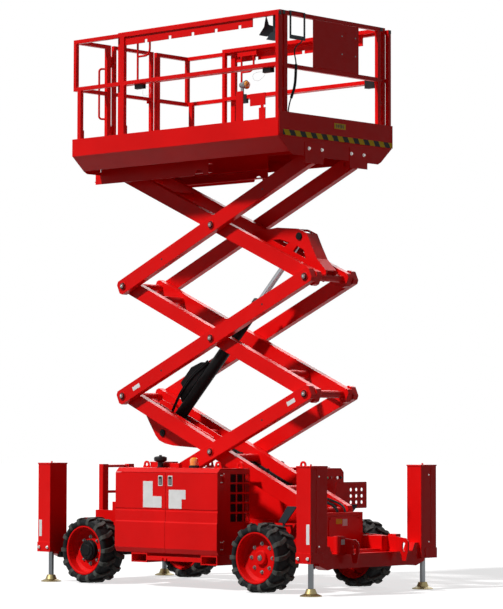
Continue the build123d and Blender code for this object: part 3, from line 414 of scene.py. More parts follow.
# shared sizes, in metres, as in the CAD
sizes = {"armLength": 2.780, "angle": np.radians(24.35), "pivotX": 1.287, "pivotZ": 0.777, "pinEnd": 0.374,
         "armSide": 0.352}
rise = sizes["armLength"] * np.sin(sizes["angle"])
reach = sizes["armLength"] * np.cos(sizes["angle"])
level = sizes["pivotZ"] + rise * np.arange(4)
deck = level[3]
armSin, armCos = np.sin(sizes["angle"]), np.cos(sizes["angle"])


def innerPoint(stage, along, across):
    # X and Z of a point of an inner arm, which rises to the rear
    return (sizes["pivotX"] - along * armCos + across * armSin,
            level[stage] + along * armSin + across * armCos)


def outerPoint(stage, along, across):
    # X and Z of a point of an outer arm, which rises to the front
    return (sizes["pivotX"] - reach + along * armCos - across * armSin,
            level[stage] + along * armSin + across * armCos)


# tyres: a section carried round, pushed out where a lug is
tyre = {"around": 640, "lugs": 14, "radius": 0.337, "edge": 0.0035, "creaseAngle": 28,
        "centres": {"front_left": (1.098, 1), "front_right": (1.098, -1),
                    "rear_left": (-1.292, 1), "rear_right": (-1.292, -1)},
        "wheelY": 0.722, "wheelZ": 0.337}
# radius and half width along the section, of the bare carcass and over a lug
carcass = np.array([(0.2384, 0.118), (0.2515, 0.1262), (0.262, 0.1435), (0.276, 0.1500), (0.290, 0.1490),
                    (0.302, 0.1440), (0.310, 0.1330), (0.314, 0.1180), (0.314, 0.0)])
overLug = np.array([(0.2384, 0.118), (0.2515, 0.1262), (0.262, 0.1435), (0.276, 0.1505), (0.292, 0.1512),
                    (0.308, 0.1510), (0.323, 0.1450), (0.3365, 0.1130), (0.337, 0.0)])
knots = np.array([0, 2, 5, 8, 12, 16, 20, 26, 46])
along = np.arange(0, 46.01, 1.0)
half = [np.stack([np.interp(along, knots, s[:, k]) for k in (0, 1)], -1) for s in (carcass, overLug)]
section = [np.concatenate([h, (h * (1, -1))[-2::-1]]) for h in half]
angles = np.linspace(0, 2 * np.pi, tyre["around"], endpoint=False)


def lugMask(theta, width):
    # 1 on a lug, 0 in a groove: a slanted bar whose middle line bends towards the shoulder
    mask = np.zeros(np.broadcast(theta, width).shape)
    pitch = 2 * np.pi / tyre["lugs"]
    for row, turn in ((1, 0.0), (-1, 0.5)):
        w = row * width
        middle = np.interp(w, [-0.006, 0.068, 0.152], [0.057, 0.014, -0.001])
        halfWide = np.interp(w, [-0.006, 0.068, 0.152], [0.0235, 0.0245, 0.0235])
        t = ((theta / pitch - turn) % 1.0) * pitch * tyre["radius"]
        t = (t - middle + pitch * tyre["radius"] / 2) % (pitch * tyre["radius"]) - pitch * tyre["radius"] / 2
        side = np.clip((halfWide - np.abs(t)) / tyre["edge"] + 0.5, 0, 1)
        inner = np.clip((w + 0.008) / tyre["edge"] + 0.5, 0, 1)
        mask = np.maximum(mask, side * inner)
    return mask * mask * (3 - 2 * mask)


bare, raised = section
mask = lugMask(angles[:, None], bare[None, :, 1])
shape = bare[None] + mask[..., None] * (raised - bare)[None]
# two raised rings on the side wall, as height, radius and width of a bell curve
rings = sum(high * np.exp(-((bare[:, 0] - r) / wide) ** 2)
            for high, r, wide in ((0.0010, 0.268, 0.0022), (0.0008, 0.256, 0.002)))
shape[..., 1] += np.sign(bare[:, 1]) * rings
# groove share per point: where it is high the tyre stays dark, as painted shade in the grooves
groove = 1 - mask
for name, (x, side) in tyre["centres"].items():
    radius, width = shape[..., 0], shape[..., 1]
    points = np.stack([x + radius * np.cos(angles)[:, None], side * tyre["wheelY"] - width,
                       tyre["wheelZ"] + radius * np.sin(angles)[:, None]], -1)
    faces = gridFaces(len(angles), points.shape[1], closeRows=True, closeColumns=True)
    mesh = bpy.data.meshes.new(f"tyre_{name}")
    mesh.from_pydata(points.reshape(-1, 3).tolist(), [], faces.tolist())
    mesh.polygons.foreach_set("use_smooth", np.ones(len(mesh.polygons), bool))
    spread = mesh.attributes.new("groove", "FLOAT", "POINT")
    spread.data.foreach_set("value", groove.ravel().astype(np.float32))
    mesh.materials.append(tyreRubber)
    piece = bpy.data.objects.new(f"treadTyre_{name}", mesh)
    scene.collection.objects.link(piece)
    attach(piece, f"wheel_{name}")
    crisp = piece.modifiers.new("edges", "EDGE_SPLIT")
    crisp.split_angle = np.radians(tyre["creaseAngle"])
    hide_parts(f"tyre_{name}")
print("tyres made")

# wheel nuts and hub caps
nut = {"washer": (0.0200, 0.003), "hex": 0.0152, "height": 0.0135, "stud": 0.0094, "studTop": 0.0205,
       "circle": 0.137, "count": 8, "face": 0.032}
w, hx, top = nut["washer"], nut["hex"], nut["height"]
washerForm = turnedForm([(w[0] - 0.001, 0), (w[0], 0.0005), (w[0], w[1] - 0.0006), (w[0] - 0.001, w[1])], 28)
hexForm = turnedForm([(hx, w[1]), (hx, top - 0.002), (hx * 0.90, top)], 48, flats=6)
studForm = turnedForm([(nut["stud"], top - 0.002), (nut["stud"], nut["studTop"] - 0.001),
                       (nut["stud"] * 0.8, nut["studTop"])], 20)
wheelNut = joined(washerForm, hexForm, studForm)
turns = np.arange(nut["count"]) * 2 * np.pi / nut["count"]
capForm = turnedForm([(0.028, 0), (0.028, 0.005), (0.026, 0.007), (0.019, 0.0075), (0.017, 0.012),
                      (0.014, 0.016), (0.007, 0.018), (0.0005, 0.0182)], 40)
capBase = 0.064
for name, (x, side) in tyre["centres"].items():
    y = side * (tyre["wheelY"] + nut["face"])
    places = np.stack([x + nut["circle"] * np.cos(turns), np.full(nut["count"], y),
                       tyre["wheelZ"] + nut["circle"] * np.sin(turns)], -1)
    # the nuts' dark steel stands in part for the shade inside the wheel's dish (painted shade)
    newPiece(f"wheelNuts_{name}", *copies(wheelNut, places, [(0, side, 0)] * nut["count"]), nutSteel,
             f"wheel_{name}", "bright_steel")
    if name.startswith("front"):
        hub = copies(capForm, [(x, side * (tyre["wheelY"] + capBase), tyre["wheelZ"])], [(0, side, 0)])
        newPiece(f"hubCap_{name}", *hub, nutSteel, f"wheel_{name}", "bright_steel")
print("wheel nuts made")


# bolts: a washer, a hexagon head and its chamfer
def boltForm(size):
    washer = turnedForm([(size * 1.25, 0), (size * 1.25, size * 0.16), (size * 1.15, size * 0.2)], 24)
    head = turnedForm([(size, size * 0.2), (size, size * 0.85), (size * 0.88, size)], 36, flats=6)
    return joined(washer, head)


def bolts(name, size, places, direction, body, material=boltSteel):
    newPiece(name, *copies(boltForm(size), places, [direction] * len(places)), material, body, "bright_steel")


both = (-1, 1)
# outrigger housings: middle X, half width, bolts on the outer end, bolts on the sleeve, folded seam
housing = {"x": 1.798, "half": 0.090, "boltY": 0.8225, "boltZ": (1.13, 0.47), "boltSize": 0.0065,
           "sleeveAcross": (-0.062, 0.062), "sleeveY": 0.954, "sleeveZ": 0.358, "sleeveSize": 0.013,
           "seam": (0.006, 0.800, 0.003, 0.002), "seamY": 0.860, "seamZ": 0.812}
for s in both:
    for e in both:
        tag = f"{'front' if e > 0 else 'rear'}_{'left' if s > 0 else 'right'}"
        face = e * (housing["x"] + housing["half"])
        spots = [(face, s * housing["boltY"], z) for z in housing["boltZ"]]
        bolts(f"housingBolts_{tag}", housing["boltSize"], spots, (e, 0, 0), "chassis")
        spots = [(e * housing["x"] + across, s * housing["sleeveY"], housing["sleeveZ"])
                 for across in housing["sleeveAcross"]]
        bolts(f"sleeveBolts_{tag}", housing["sleeveSize"], spots, (0, s, 0), "chassis")
        # folded seam down the housing's outer end; the rear right one lies on the inner side of that face
        centre = (face, s * housing["seamY"], housing["seamZ"])
        across = (0, 1 if s * e > 0 else e, 0)
        seam = plateForm(*housing["seam"], centre, across, (0, 0, 1))
        newPiece(f"housingSeam_{tag}", *seam, redPaint, "chassis", "red_paint")
print("bolts made")

# blank label plates: centre, width, height, facing, finish, body
labels = {"housingFront": ((1.852, -0.9401, 0.585), 0.040, 0.190, "y", labelWhite, "chassis"),
          "housingRear": ((-1.852, -0.9401, 0.555), 0.040, 0.170, "y", labelWhite, "chassis"),
          "doorRearTall": ((-0.3585, -0.8601, 0.926), 0.135, 0.262, "y", labelWhite, "door_rear_right"),
          "doorRearLow": ((-0.228, -0.8601, 0.8515), 0.126, 0.113, "y", labelWhite, "door_rear_right"),
          "doorFrontHigh": ((0.052, -0.8601, 0.9295), 0.234, 0.093, "y", labelWhite, "door_front_right"),
          "doorFrontLow": ((0.0245, -0.8601, 0.8365), 0.179, 0.093, "y", labelWhite, "door_front_right"),
          "valveWhite": ((1.5051, -0.0025, 0.670), 0.071, 0.068, "x", labelWhite, "chassis"),
          "valveYellow": ((1.5051, -0.0915, 0.6815), 0.089, 0.049, "x", labelYellow, "chassis"),
          "beamEnd": ((1.8352, -0.414, 0.500), 0.054, 0.050, "x", labelWhite, "chassis"),
          "toePanel": ((1.4041, 0.040, deck + 0.349), 0.170, 0.056, "x", labelYellow, "extension")}
for name, (centre, width, height, facing, finish, body) in labels.items():
    across = (1, 0, 0) if facing == "y" else (0, 1, 0)
    plate = plateForm(width, height, 0.0012, 0.003, centre, across, (0, 0, 1))
    newPiece(f"label_{name}", *plate, finish, body, "grey_plastic")
# black bars stand for the lines of a notice, in no letters
bars = {"width": 0.014, "height": 0.034, "pitch": 0.024, "count": 5}
shapes = [plateForm(bars["width"], bars["height"], 0.0006, 0.001,
                    (1.4053, 0.040 + (n - 2) * bars["pitch"], deck + 0.349), (0, 1, 0), (0, 0, 1))
          for n in range(bars["count"])]
newPiece("label_toePanelBars", *joined(*shapes), blackPlastic, "extension", "black_paint")
# small plates on the outer arms: stage, along the arm
for stage, along in ((1, 0.220), (0, 2.585)):
    x, z = outerPoint(stage, along, 0)
    centre = (x, -sizes["armSide"] - 0.0001, z)
    plate = plateForm(0.112, 0.042, 0.0010, 0.003, centre, (armCos, 0, armSin), (-armSin, 0, armCos))
    newPiece(f"label_arm_{stage + 1}", *plate, labelWhite, f"outer_arms_{stage + 1}", "grey_plastic")
stripe = {"x": 1.4042, "low": deck + 0.198, "high": deck + 0.252, "left": -0.800, "right": 0.843}
middle = (stripe["x"], (stripe["left"] + stripe["right"]) / 2, (stripe["low"] + stripe["high"]) / 2)
strip = plateForm(stripe["right"] - stripe["left"], stripe["high"] - stripe["low"], 0.0010, 0.001, middle,
                  (0, 1, 0), (0, 0, 1))
newPiece("warningStrip", *strip, warningStripe, "extension", "deck_red", smooth=False)
print("labels made")

# pin ends on the scissor arms: washer, pin and grease nipple
pinCap = turnedForm([(0.0350, -0.0140), (0.0350, -0.0090), (0.0335, -0.0080)], 40)
pinEnd = turnedForm([(0.0225, -0.0080), (0.0225, 0.0010), (0.0205, 0.0030)], 36)
nipple = joined(turnedForm([(0.0095, 0.003), (0.0095, 0.0042), (0.0085, 0.005)], 20),
                turnedForm([(0.0050, 0.005), (0.0050, 0.009), (0.0030, 0.0105)], 14))
# body, stage, shares of the arm's length
armPins = [("inner_arms_1", 0, (0.5, 1.0)), ("inner_arms_2", 1, (0.0, 0.5, 1.0)),
           ("inner_arms_3", 2, (0.0, 0.5))]
for body, stage, shares in armPins:
    places, directions = [], []
    for share in shares:
        x, z = innerPoint(stage, share * sizes["armLength"], 0)
        for s in both:
            places.append((x, s * sizes["pinEnd"], z))
            directions.append((0, s, 0))
    newPiece(f"pinCaps_{stage + 1}", *copies(pinCap, places, directions), blackPaint, body, "black_paint")
    newPiece(f"pinEnds_{stage + 1}", *copies(pinEnd, places, directions), nutSteel, body, "bright_steel")
    newPiece(f"greaseNipples_{stage + 1}", *copies(nipple, places, directions), boltSteel, body,
             "bright_steel")
# the cylinder's own pins: a dark head on each bracket plate
cylinderPins = {"inner_arms_1": innerPoint(0, 2.3266, -0.2166), "inner_arms_3": innerPoint(2, 0.4601, 0.2576)}
headY = 0.0882
pinHead = turnedForm([(0.0370, -0.0070), (0.0370, 0.0040), (0.0345, 0.0065), (0.0130, 0.0068),
                      (0.0120, 0.0100)], 36)
for body, (x, z) in cylinderPins.items():
    heads = copies(pinHead, [(x, s * headY, z) for s in both], [(0, s, 0) for s in both])
    newPiece(f"cylinderPin_{body}", *heads, blackPaint, body, "black_paint")
print("pin ends made")

# door hinges, latches and bay grille
doorEnds = {"front": (0.600, 1), "rear": (-0.820, -1)}
hinge = {"z": (0.436, 1.090), "y": 0.800, "plate": (0.046, 0.100, 0.004, 0.006), "boltSize": 0.0045,
         "boltY": (-0.012, 0.012), "boltZ": (-0.035, 0.035), "pinOut": 0.012, "pinY": 0.778}
hingePin = turnedForm([(0.0045, 0.0452), (0.0045, 0.0500), (0.0030, 0.0515)], 16)
# latches, each layer standing on the one before: name, width, height, thickness, base Y, Z, finish, slot
latchLayers = [("Frame", 0.062, 0.104, 0.0045, 0.8602, 1.064, boltSteel, "bright_steel"),
               ("Recess", 0.046, 0.084, 0.0008, 0.8648, 1.064, blackPlastic, "black_paint"),
               ("Lever", 0.038, 0.056, 0.0105, 0.8603, 1.055, nutSteel, "bright_steel")]
latchMiddle = (-0.112, 0.068)
for e, (x, out) in doorEnds.items():
    for s in both:
        side = "left" if s > 0 else "right"
        door = f"door_{e}_{side}"
        for n, z in enumerate(hinge["z"]):
            centre = (x + out * 0.0002, s * hinge["y"], z)
            plate = plateForm(*hinge["plate"], centre, (0, out, 0), (0, 0, 1))
            newPiece(f"hingePlate_{e}_{side}_{n}", *plate, redPaint, door, "red_paint")
            spots = [(x + out * 0.0042, s * (hinge["y"] + dy), z + dz)
                     for dy in hinge["boltY"] for dz in hinge["boltZ"]]
            bolts(f"hingeBolts_{e}_{side}_{n}", hinge["boltSize"], spots, (out, 0, 0), door)
            pin = copies(hingePin, [(x + out * hinge["pinOut"], s * hinge["pinY"], z)], [(0, 0, 1)])
            newPiece(f"hingePin_{e}_{side}_{n}", *pin, boltSteel, door, "bright_steel")
        middle = latchMiddle[0] + out * latchMiddle[1]
        for part, width, height, thick, base, z, finish, slot in latchLayers:
            centre = (middle, s * base, z)
            shape = plateForm(width, height, thick, 0.006, centre, (-s, 0, 0), (0, 0, 1), 0.001)
            newPiece(f"latch{part}_{e}_{side}", *shape, finish, door, slot)
# fine wires behind the grille's windows, upright and level ones 2 mm apart
grille = {"x": 0.590, "levelX": 0.588, "pitch": 0.010, "wire": 0.0014, "sides": 6,
          "upright": (0.660, 1.140), "level": (0.392, 0.680), "firstY": 0.395, "firstZ": 0.662}
for s in both:
    side = "left" if s > 0 else "right"
    ys = np.arange(grille["firstY"], grille["level"][1], grille["pitch"])
    zs = np.arange(grille["firstZ"], grille["upright"][1], grille["pitch"])
    runs = [[(grille["x"], s * y, z) for z in grille["upright"]] for y in ys]
    runs += [[(grille["levelX"], s * y, z) for y in grille["level"]] for z in zs]
    wires = [tubeForm(np.array(run), grille["wire"], grille["sides"]) for run in runs]
    newPiece(f"grilleMesh_{side}", *joined(*wires), blackPaint, "chassis", "black_paint")
print("doors and grille made")

# hoses held along the far lower arm, as along and across it, Y and radius
armHoses = {"upper": (-0.052, 0.182, 0.0110), "lower": (-0.0765, 0.178, 0.0110)}
hoseRun = {"top": 2.10, "bottom": 0.66, "clamps": (1.85, 1.45, 1.05, 0.70)}
for name, (across, y, radius) in armHoses.items():
    stops = np.linspace(hoseRun["top"], hoseRun["bottom"], 7)
    run = [(x, y, z) for x, z in (innerPoint(0, along, across) for along in stops)]
    hose = tubeForm(curveLine(run), radius, 14)
    newPiece(f"armHose_{name}", *hose, hoseRubber, "inner_arms_1", "black_paint")
clampAxes = ((armCos, 0, -armSin), (armSin, 0, armCos))
for n, along in enumerate(hoseRun["clamps"]):
    x, z = innerPoint(0, along, -0.064)
    shape = plateForm(0.026, 0.058, 0.034, 0.006, (x, 0.197, z), *clampAxes, 0.002)
    newPiece(f"hoseClamp_{n}", *shape, blackPlastic, "inner_arms_1", "black_paint")

# free hoses from the last clamp over the front pivot into the valve box: points on the arm as along, across
# and Y, and then points on the chassis as X, Z and Y
freeHoses = {
    "valveUpper": {"onArm": [(0.660, -0.052, 0.182), (0.560, -0.056, 0.180), (0.430, -0.052, 0.176),
                             (0.300, -0.004, 0.172), (0.180, 0.044, 0.166)],
                   "onChassis": [(1.232, 0.866, 0.152), (1.330, 0.848, 0.120), (1.405, 0.822, 0.088),
                                 (1.440, 0.792, 0.070), (1.450, 0.764, 0.064)],
                   "radius": 0.0110, "length": 0.86, "ribs": None},
    "valveLower": {"onArm": [(0.660, -0.0765, 0.178), (0.560, -0.082, 0.160), (0.430, -0.076, 0.130),
                             (0.300, -0.020, 0.100), (0.180, 0.040, 0.070)],
                   "onChassis": [(1.225, 0.856, 0.040), (1.310, 0.846, 0.010), (1.385, 0.826, -0.020),
                                 (1.432, 0.796, -0.040), (1.446, 0.764, -0.046)],
                   "radius": 0.0135, "length": 0.88, "ribs": (0.0085, 0.0014)}}
for name, hose in freeHoses.items():
    points = [(*innerPoint(0, along, across), y) for along, across, y in hose["onArm"]] + hose["onChassis"]
    line = curveLine([(x, y, z) for x, z, y in points])
    shape = tubeForm(line, hose["radius"], 14, hose["ribs"])
    piece = newPiece(f"hose_{name}", *shape, hoseRubber, None, "black_paint")
    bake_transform(piece)
# the control holder's cable, with a ribbed sleeve over its middle
holderCable = {"points": [(1.3590, -0.470, 5.375), (1.380, -0.500, 5.345), (1.384, -0.560, 5.318),
                          (1.384, -0.612, 5.270), (1.384, -0.610, 5.205), (1.384, -0.588, 5.140),
                          (1.384, -0.592, 5.060), (1.384, -0.596, 4.980), (1.384, -0.610, 4.890),
                          (1.382, -0.650, 4.800), (1.378, -0.680, 4.720), (1.372, -0.692, 4.640),
                          (1.370, -0.694, 4.560), (1.370, -0.694, 4.532)],
               "radius": 0.0065, "length": 0.93, "sleeveTop": 5.12, "sleeveEnd": 4.78, "sleeveRadius": 0.0135}
line = curveLine(holderCable["points"])
shape = tubeForm(line, holderCable["radius"], 12)
cable = newPiece("holderCable", *shape, hoseRubber, "extension", "black_paint")
inSleeve = line[(line[:, 2] < holderCable["sleeveTop"]) & (line[:, 2] > holderCable["sleeveEnd"])]
shape = tubeForm(inSleeve, holderCable["sleeveRadius"], 16, (0.0070, 0.0012))
sleeve = newPiece("holderCableSleeve", *shape, hoseRubber, "extension", "black_paint")
print("hoses made")

# guard and hoses on the lift cylinder's upper side, as along and out from its centre line;
# the step low on the guard leaves room for the arms' cross tube when the lift is at its highest
cylinder = {"foot": cylinderPins["inner_arms_1"], "head": cylinderPins["inner_arms_3"],
            "outline": [(0.395, 0.055), (0.425, 0.118), (0.455, 0.139), (0.498, 0.139), (0.516, 0.158),
                        (0.523, 0.203), (0.560, 0.206), (0.745, 0.206), (0.880, 0.140), (0.955, 0.055)],
            "halfWide": 0.044, "sheet": 0.004, "sheetAlong": 0.003, "middle": 0.65,
            "hose": [(0.230, 0.066), (0.330, 0.092), (0.430, 0.112), (0.560, 0.124), (0.690, 0.120),
                     (0.800, 0.098), (0.890, 0.070), (0.960, 0.058)],
            "hoseY": -0.0525, "hoseStep": 0.018, "hoseRadius": 0.0075}
foot, head = np.array(cylinder["foot"]), np.array(cylinder["head"])
way = (head - foot) / np.linalg.norm(head - foot)


def cylinderPoint(along, out, y):
    # a point along the cylinder and out to its upper rear side
    x, z = foot + along * way + out * np.array([-way[1], way[0]])
    return x, y, z


def foldedSheet(outline, near, far):
    # an outline in the cylinder's plane carried from near to far Y, closed at both ends
    points = np.array([cylinderPoint(a, d, y) for y in (near, far) for a, d in outline])
    n = len(outline)
    faces = [[i, (i + 1) % n, n + (i + 1) % n, n + i] for i in range(n)]
    return points, faces + [list(range(n))[::-1], list(range(n, 2 * n))]


shell = cylinder["outline"]
inner = [(a + cylinder["sheetAlong"] * np.sign(cylinder["middle"] - a), d - cylinder["sheet"])
         for a, d in shell]
strip = shell + inner[::-1]
parts = [foldedSheet(strip, -cylinder["halfWide"], cylinder["halfWide"])]
for y in (-cylinder["halfWide"], cylinder["halfWide"] - cylinder["sheet"]):
    parts.append(foldedSheet(inner, y, y + cylinder["sheet"]))
newPiece("cylinderGuard", *joined(*parts), blackPaint, "lift_barrel", "black_paint", smooth=False)
for n in range(2):
    run = [cylinderPoint(a, d + n * cylinder["hoseStep"], cylinder["hoseY"]) for a, d in cylinder["hose"]]
    hose = tubeForm(curveLine(run), cylinder["hoseRadius"], 12)
    newPiece(f"cylinderHose_{n}", *hose, hoseRubber, "lift_barrel", "black_paint")
print("cylinder guard made")

# bolts, plugs and small fittings
deckBolts = {"x": 1.3964, "y": (0.221, 0.412), "z": deck + 0.095, "size": 0.0142}
spots = [(deckBolts["x"], s * y, deckBolts["z"]) for s in both for y in deckBolts["y"]]
bolts("pivotPlateBolts", deckBolts["size"], spots, (1, 0, 0), "platform")
tieBolts = {"x": (1.482, 1.567), "y": 0.3618, "z": 0.512, "size": 0.008}
# black plugs in the tubes' ends: number, body, X, Y, Z
tubePlugs = [(0, "platform", 1.3881, 0.828, deck + 1.380), (2, "extension", 1.3551, 0.736, deck + 1.400)]
# stop boxes under the outriggers' housings: X, Y, Z, width, height, thickness, corner
stopBox = {"centre": (1.742, 0.740, 0.280), "form": (0.050, 0.058, 0.040, 0.004)}
for s in both:
    side = "left" if s > 0 else "right"
    spots = [(x, s * tieBolts["y"], tieBolts["z"]) for x in tieBolts["x"]]
    bolts(f"tiePlateBolts_{side}", tieBolts["size"], spots, (0, -s, 0), "chassis")
    for n, body, x, y, z in tubePlugs:
        shape = plateForm(0.038, 0.038, 0.004, 0.004, (x, s * y, z), (0, 1, 0), (0, 0, 1), 0.001)
        newPiece(f"tubePlug_{side}_{n}", *shape, blackPlastic, body, "black_paint")
    for e in both:
        end = "front" if e > 0 else "rear"
        x, y, z = stopBox["centre"]
        shape = plateForm(*stopBox["form"], (e * x, s * y, z), (-s, 0, 0), (0, 0, 1), 0.002)
        newPiece(f"stopBox_{end}_{side}", *shape, blackPlastic, "chassis", "black_paint")
# dark plugs in the outer arms' faces, at these distances along them
armPlugs = (0.62, 2.16)
plug = turnedForm([(0.0105, -0.001), (0.0105, 0.0004), (0.0090, 0.0008)], 20)
for stage in range(3):
    spots = [(*outerPoint(stage, along, 0.0), s) for s in both for along in armPlugs]
    places = [(x, s * sizes["armSide"], z) for x, z, s in spots]
    plugs = copies(plug, places, [(0, s, 0) for x, z, s in spots])
    newPiece(f"armPlugs_{stage + 1}", *plugs, blackPlastic, f"outer_arms_{stage + 1}", "black_paint")
# beacon's black foot and the alarm's amber lens, a quarter of an ellipse turned round
beaconSpot = (-0.015, -0.550, 1.1902)
foot = copies(turnedForm([(0.0530, 0), (0.0530, 0.0200), (0.0430, 0.0252)], 40), [beaconSpot], [(0, 0, 1)])
newPiece("beaconFoot", *foot, blackPlastic, "chassis", "black_paint")
alarmLens = {"centre": (0.8738, -0.740, deck + 0.735), "radius": 0.040, "high": 0.024}
q = np.linspace(0, np.pi / 2, 9)[:-1]
dome = np.stack([alarmLens["radius"] * np.cos(q), alarmLens["high"] * np.sin(q)], -1)
lens = copies(turnedForm([*dome, (0.0008, alarmLens["high"])], 36), [alarmLens["centre"]], [(1, 0, 0)])
newPiece("alarmLens", *lens, amberPlastic, "extension", "amber_lens")
# ground control buttons: Y, radius, finish
controls = {"x": 0.8332, "z": 1.090, "buttons": [(0.500, 0.013, buttonGreen), (0.560, 0.013, buttonRed),
                                                 (0.650, 0.016, boltSteel), (0.710, 0.013, blackPlastic)]}
for n, (y, radius, finish) in enumerate(controls["buttons"]):
    cap = turnedForm([(radius, 0), (radius, 0.0110), (radius * 0.85, 0.0130)], 28)
    button = copies(cap, [(controls["x"], y, controls["z"])], [(1, 0, 0)])
    newPiece(f"controlButton_{n}", *button, finish, "chassis", "grey_plastic")
# gate hinge plates on the rear frame
for n, z in enumerate((deck + 0.515, deck + 1.250)):
    shape = plateForm(0.056, 0.090, 0.003, 0.004, (-1.4872, -0.330, z), (0, -1, 0), (0, 0, 1), 0.001)
    newPiece(f"gateHinge_{n}", *shape, boltSteel, "platform", "bright_steel")
# black tray beside the control holder: a side plate and a sloped lid, as X and Z
tray = {"side": [(0.996, 5.431), (1.116, 5.404), (1.221, 5.379), (1.221, 5.594), (1.180, 5.602),
                 (1.180, 5.500), (1.125, 5.520), (1.089, 5.618), (1.063, 5.503)],
        "lid": [(0.996, 5.431), (0.998, 5.428), (1.064, 5.497), (1.221, 5.486), (1.221, 5.490),
                (1.063, 5.501)],
        "sideY": (-0.700, -0.696), "lidY": (-0.6958, -0.585)}
shapes = []
for outline, (near, far) in ((tray["side"], tray["sideY"]), (tray["lid"], tray["lidY"])):
    points = np.array([(x, y, z) for y in (near, far) for x, z in outline])
    n = len(outline)
    faces = [[n + i, n + (i + 1) % n, (i + 1) % n, i] for i in range(n)]
    shapes.append((points, faces + [list(range(n)), list(range(n, 2 * n))[::-1]]))
newPiece("holderTray", *joined(*shapes), blueBlackPaint, "extension", "black_paint", smooth=False)
# small bolts on the front plate, in two rows
plateBolts = {"x": 1.3591, "y": (0.123, 0.326), "z": (1.080, 1.260), "size": 0.0062}
spots = [(plateBolts["x"], y, deck + z) for y in plateBolts["y"] for z in plateBolts["z"]]
bolts("frontPlateBolts", plateBolts["size"], spots, (1, 0, 0), "extension", nutSteel)
# thin steel wires at the rail latches, each hanging in a loop: points and length
lanyards = {"nearFront": ([(1.124, -0.748, 5.050), (1.060, -0.746, 5.062), (0.950, -0.745, 5.050),
                           (0.965, -0.745, 4.985), (1.030, -0.745, 4.968), (1.095, -0.746, 5.000),
                           (1.126, -0.748, 5.030)], 0.40),
            "nearRear": ([(-0.560, -0.748, 5.032), (-0.580, -0.746, 4.980), (-0.530, -0.745, 4.955),
                          (-0.455, -0.745, 4.980), (-0.450, -0.746, 5.045), (-0.520, -0.748, 5.055)], 0.28)}
wireRadius = 0.0012
for name, (points, length) in lanyards.items():
    line = curveLine(points)
    wire = newPiece(f"lanyard_{name}", *tubeForm(line, wireRadius, 8), wireSteel, "extension", "bright_steel")
print("fittings made")

# raised diamonds on the floors: a low ridge on four corners, turned one way and the other
tread = {"pitch": 0.034, "long": 0.0125, "wide": 0.0048, "high": 0.0014, "ridge": 0.0060}
treadAreas = {"extension": ((-0.872, 1.350), 0.790, deck + 0.3140, "extension"),
              "fixed": ((-1.480, -0.890), 0.790, deck + 0.3000, "platform")}
for name, ((xLow, xHigh), yHalf, z, body) in treadAreas.items():
    gx, gy = np.meshgrid(np.arange(xLow, xHigh, tread["pitch"]), np.arange(-yHalf, yHalf, tread["pitch"]),
                         indexing="ij")
    turn = ((np.arange(gx.shape[0])[:, None] + np.arange(gx.shape[1])) % 2) * np.pi / 2 + np.pi / 4
    form = np.array([(-tread["long"], 0, 0), (0, -tread["wide"], 0), (tread["long"], 0, 0),
                     (0, tread["wide"], 0), (-tread["ridge"], 0, tread["high"]),
                     (tread["ridge"], 0, tread["high"])])
    c, t = np.cos(turn).ravel(), np.sin(turn).ravel()
    x = gx.ravel()[:, None] + c[:, None] * form[:, 0] - t[:, None] * form[:, 1]
    y = gy.ravel()[:, None] + t[:, None] * form[:, 0] + c[:, None] * form[:, 1]
    points = np.stack([x, y, np.broadcast_to(z + form[:, 2], x.shape)], -1).reshape(-1, 3)
    one = [(0, 1, 4), (1, 5, 4), (1, 2, 5), (2, 3, 5), (3, 4, 5), (3, 0, 4), (0, 3, 2, 1)]
    faces = [[i + 6 * n for i in f] for n in range(len(x)) for f in one]
    newPiece(f"tread_{name}", points, faces, treadPaint, body, "deck_red", smooth=False)
print("tread made")

# floor, background and light
ground = {"size": 160, "cameraShare": 0.42, "cameraGlow": 0.66, "bounce": 0.17}
floorMesh = bpy.data.meshes.new("floor")
g = ground["size"] / 2
floorMesh.from_pydata([(-g, -g, 0), (g, -g, 0), (g, g, 0), (-g, g, 0)], [], [(0, 1, 2, 3)])
floor = bpy.data.objects.new("floor", floorMesh)
scene.collection.objects.link(floor)
floor.location.z = -0.0005


def seenDirectly(tree):
    # 1 for camera, glossy and transmission rays
    path = tree.nodes.new("ShaderNodeLightPath")
    total = mathOf(tree, "MAXIMUM", path.outputs["Is Camera Ray"], path.outputs["Is Glossy Ray"])
    return mathOf(tree, "MAXIMUM", total, path.outputs["Is Transmission Ray"])


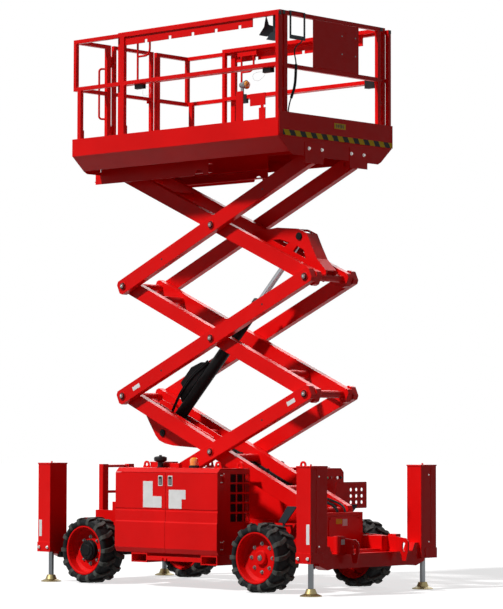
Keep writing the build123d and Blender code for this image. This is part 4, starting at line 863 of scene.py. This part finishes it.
floorPaint = bpy.data.materials.new("paleFloor")
floorPaint.use_nodes = True
tree = floorPaint.node_tree
tree.nodes.clear()
output = tree.nodes.new("ShaderNodeOutputMaterial")
bounceShade, seenShade = tree.nodes.new("ShaderNodeBsdfDiffuse"), tree.nodes.new("ShaderNodeBsdfDiffuse")
bounceShade.inputs["Color"].default_value = (*[ground["bounce"]] * 3, 1)
seenShade.inputs["Color"].default_value = (*[ground["cameraShare"]] * 3, 1)
glow = tree.nodes.new("ShaderNodeEmission")
glow.inputs["Strength"].default_value = ground["cameraGlow"]
shownShade, choose = tree.nodes.new("ShaderNodeAddShader"), tree.nodes.new("ShaderNodeMixShader")
tree.links.new(seenShade.outputs[0], shownShade.inputs[0])
tree.links.new(glow.outputs[0], shownShade.inputs[1])
tree.links.new(seenDirectly(tree), choose.inputs[0])
tree.links.new(bounceShade.outputs[0], choose.inputs[1])
tree.links.new(shownShade.outputs[0], choose.inputs[2])
tree.links.new(choose.outputs[0], output.inputs["Surface"])
floorMesh.materials.append(floorPaint)

skyStrength = 0.06
world = bpy.data.worlds.new("studio")
scene.world = world
world.use_nodes = True
tree = world.node_tree
tree.nodes.clear()
output = tree.nodes.new("ShaderNodeOutputWorld")
soft, white = tree.nodes.new("ShaderNodeBackground"), tree.nodes.new("ShaderNodeBackground")
choose = tree.nodes.new("ShaderNodeMixShader")
soft.inputs["Color"].default_value = (0.93, 0.97, 1.0, 1)
soft.inputs["Strength"].default_value = skyStrength
white.inputs["Color"].default_value = (1, 1, 1, 1)
white.inputs["Strength"].default_value = 1.0
tree.links.new(seenDirectly(tree), choose.inputs[0])
tree.links.new(soft.outputs[0], choose.inputs[1])
tree.links.new(white.outputs[0], choose.inputs[2])
tree.links.new(choose.outputs[0], output.inputs["Surface"])

# name, direction the light comes from, strength, angle
suns = [("sunKey", (-0.26, -0.80, 0.90), 3.50, 4), ("sunFill", (-0.35, 0.75, 0.50), 1.1, 40)]
for name, direction, strength, spread in suns:
    lamp = bpy.data.objects.new(name, bpy.data.lights.new(name, "SUN"))
    lamp.data.energy = strength
    lamp.data.angle = np.radians(spread)
    lamp.rotation_euler = Vector(direction).to_track_quat("Z", "Y").to_euler()
    scene.collection.objects.link(lamp)
print("floor and light made")
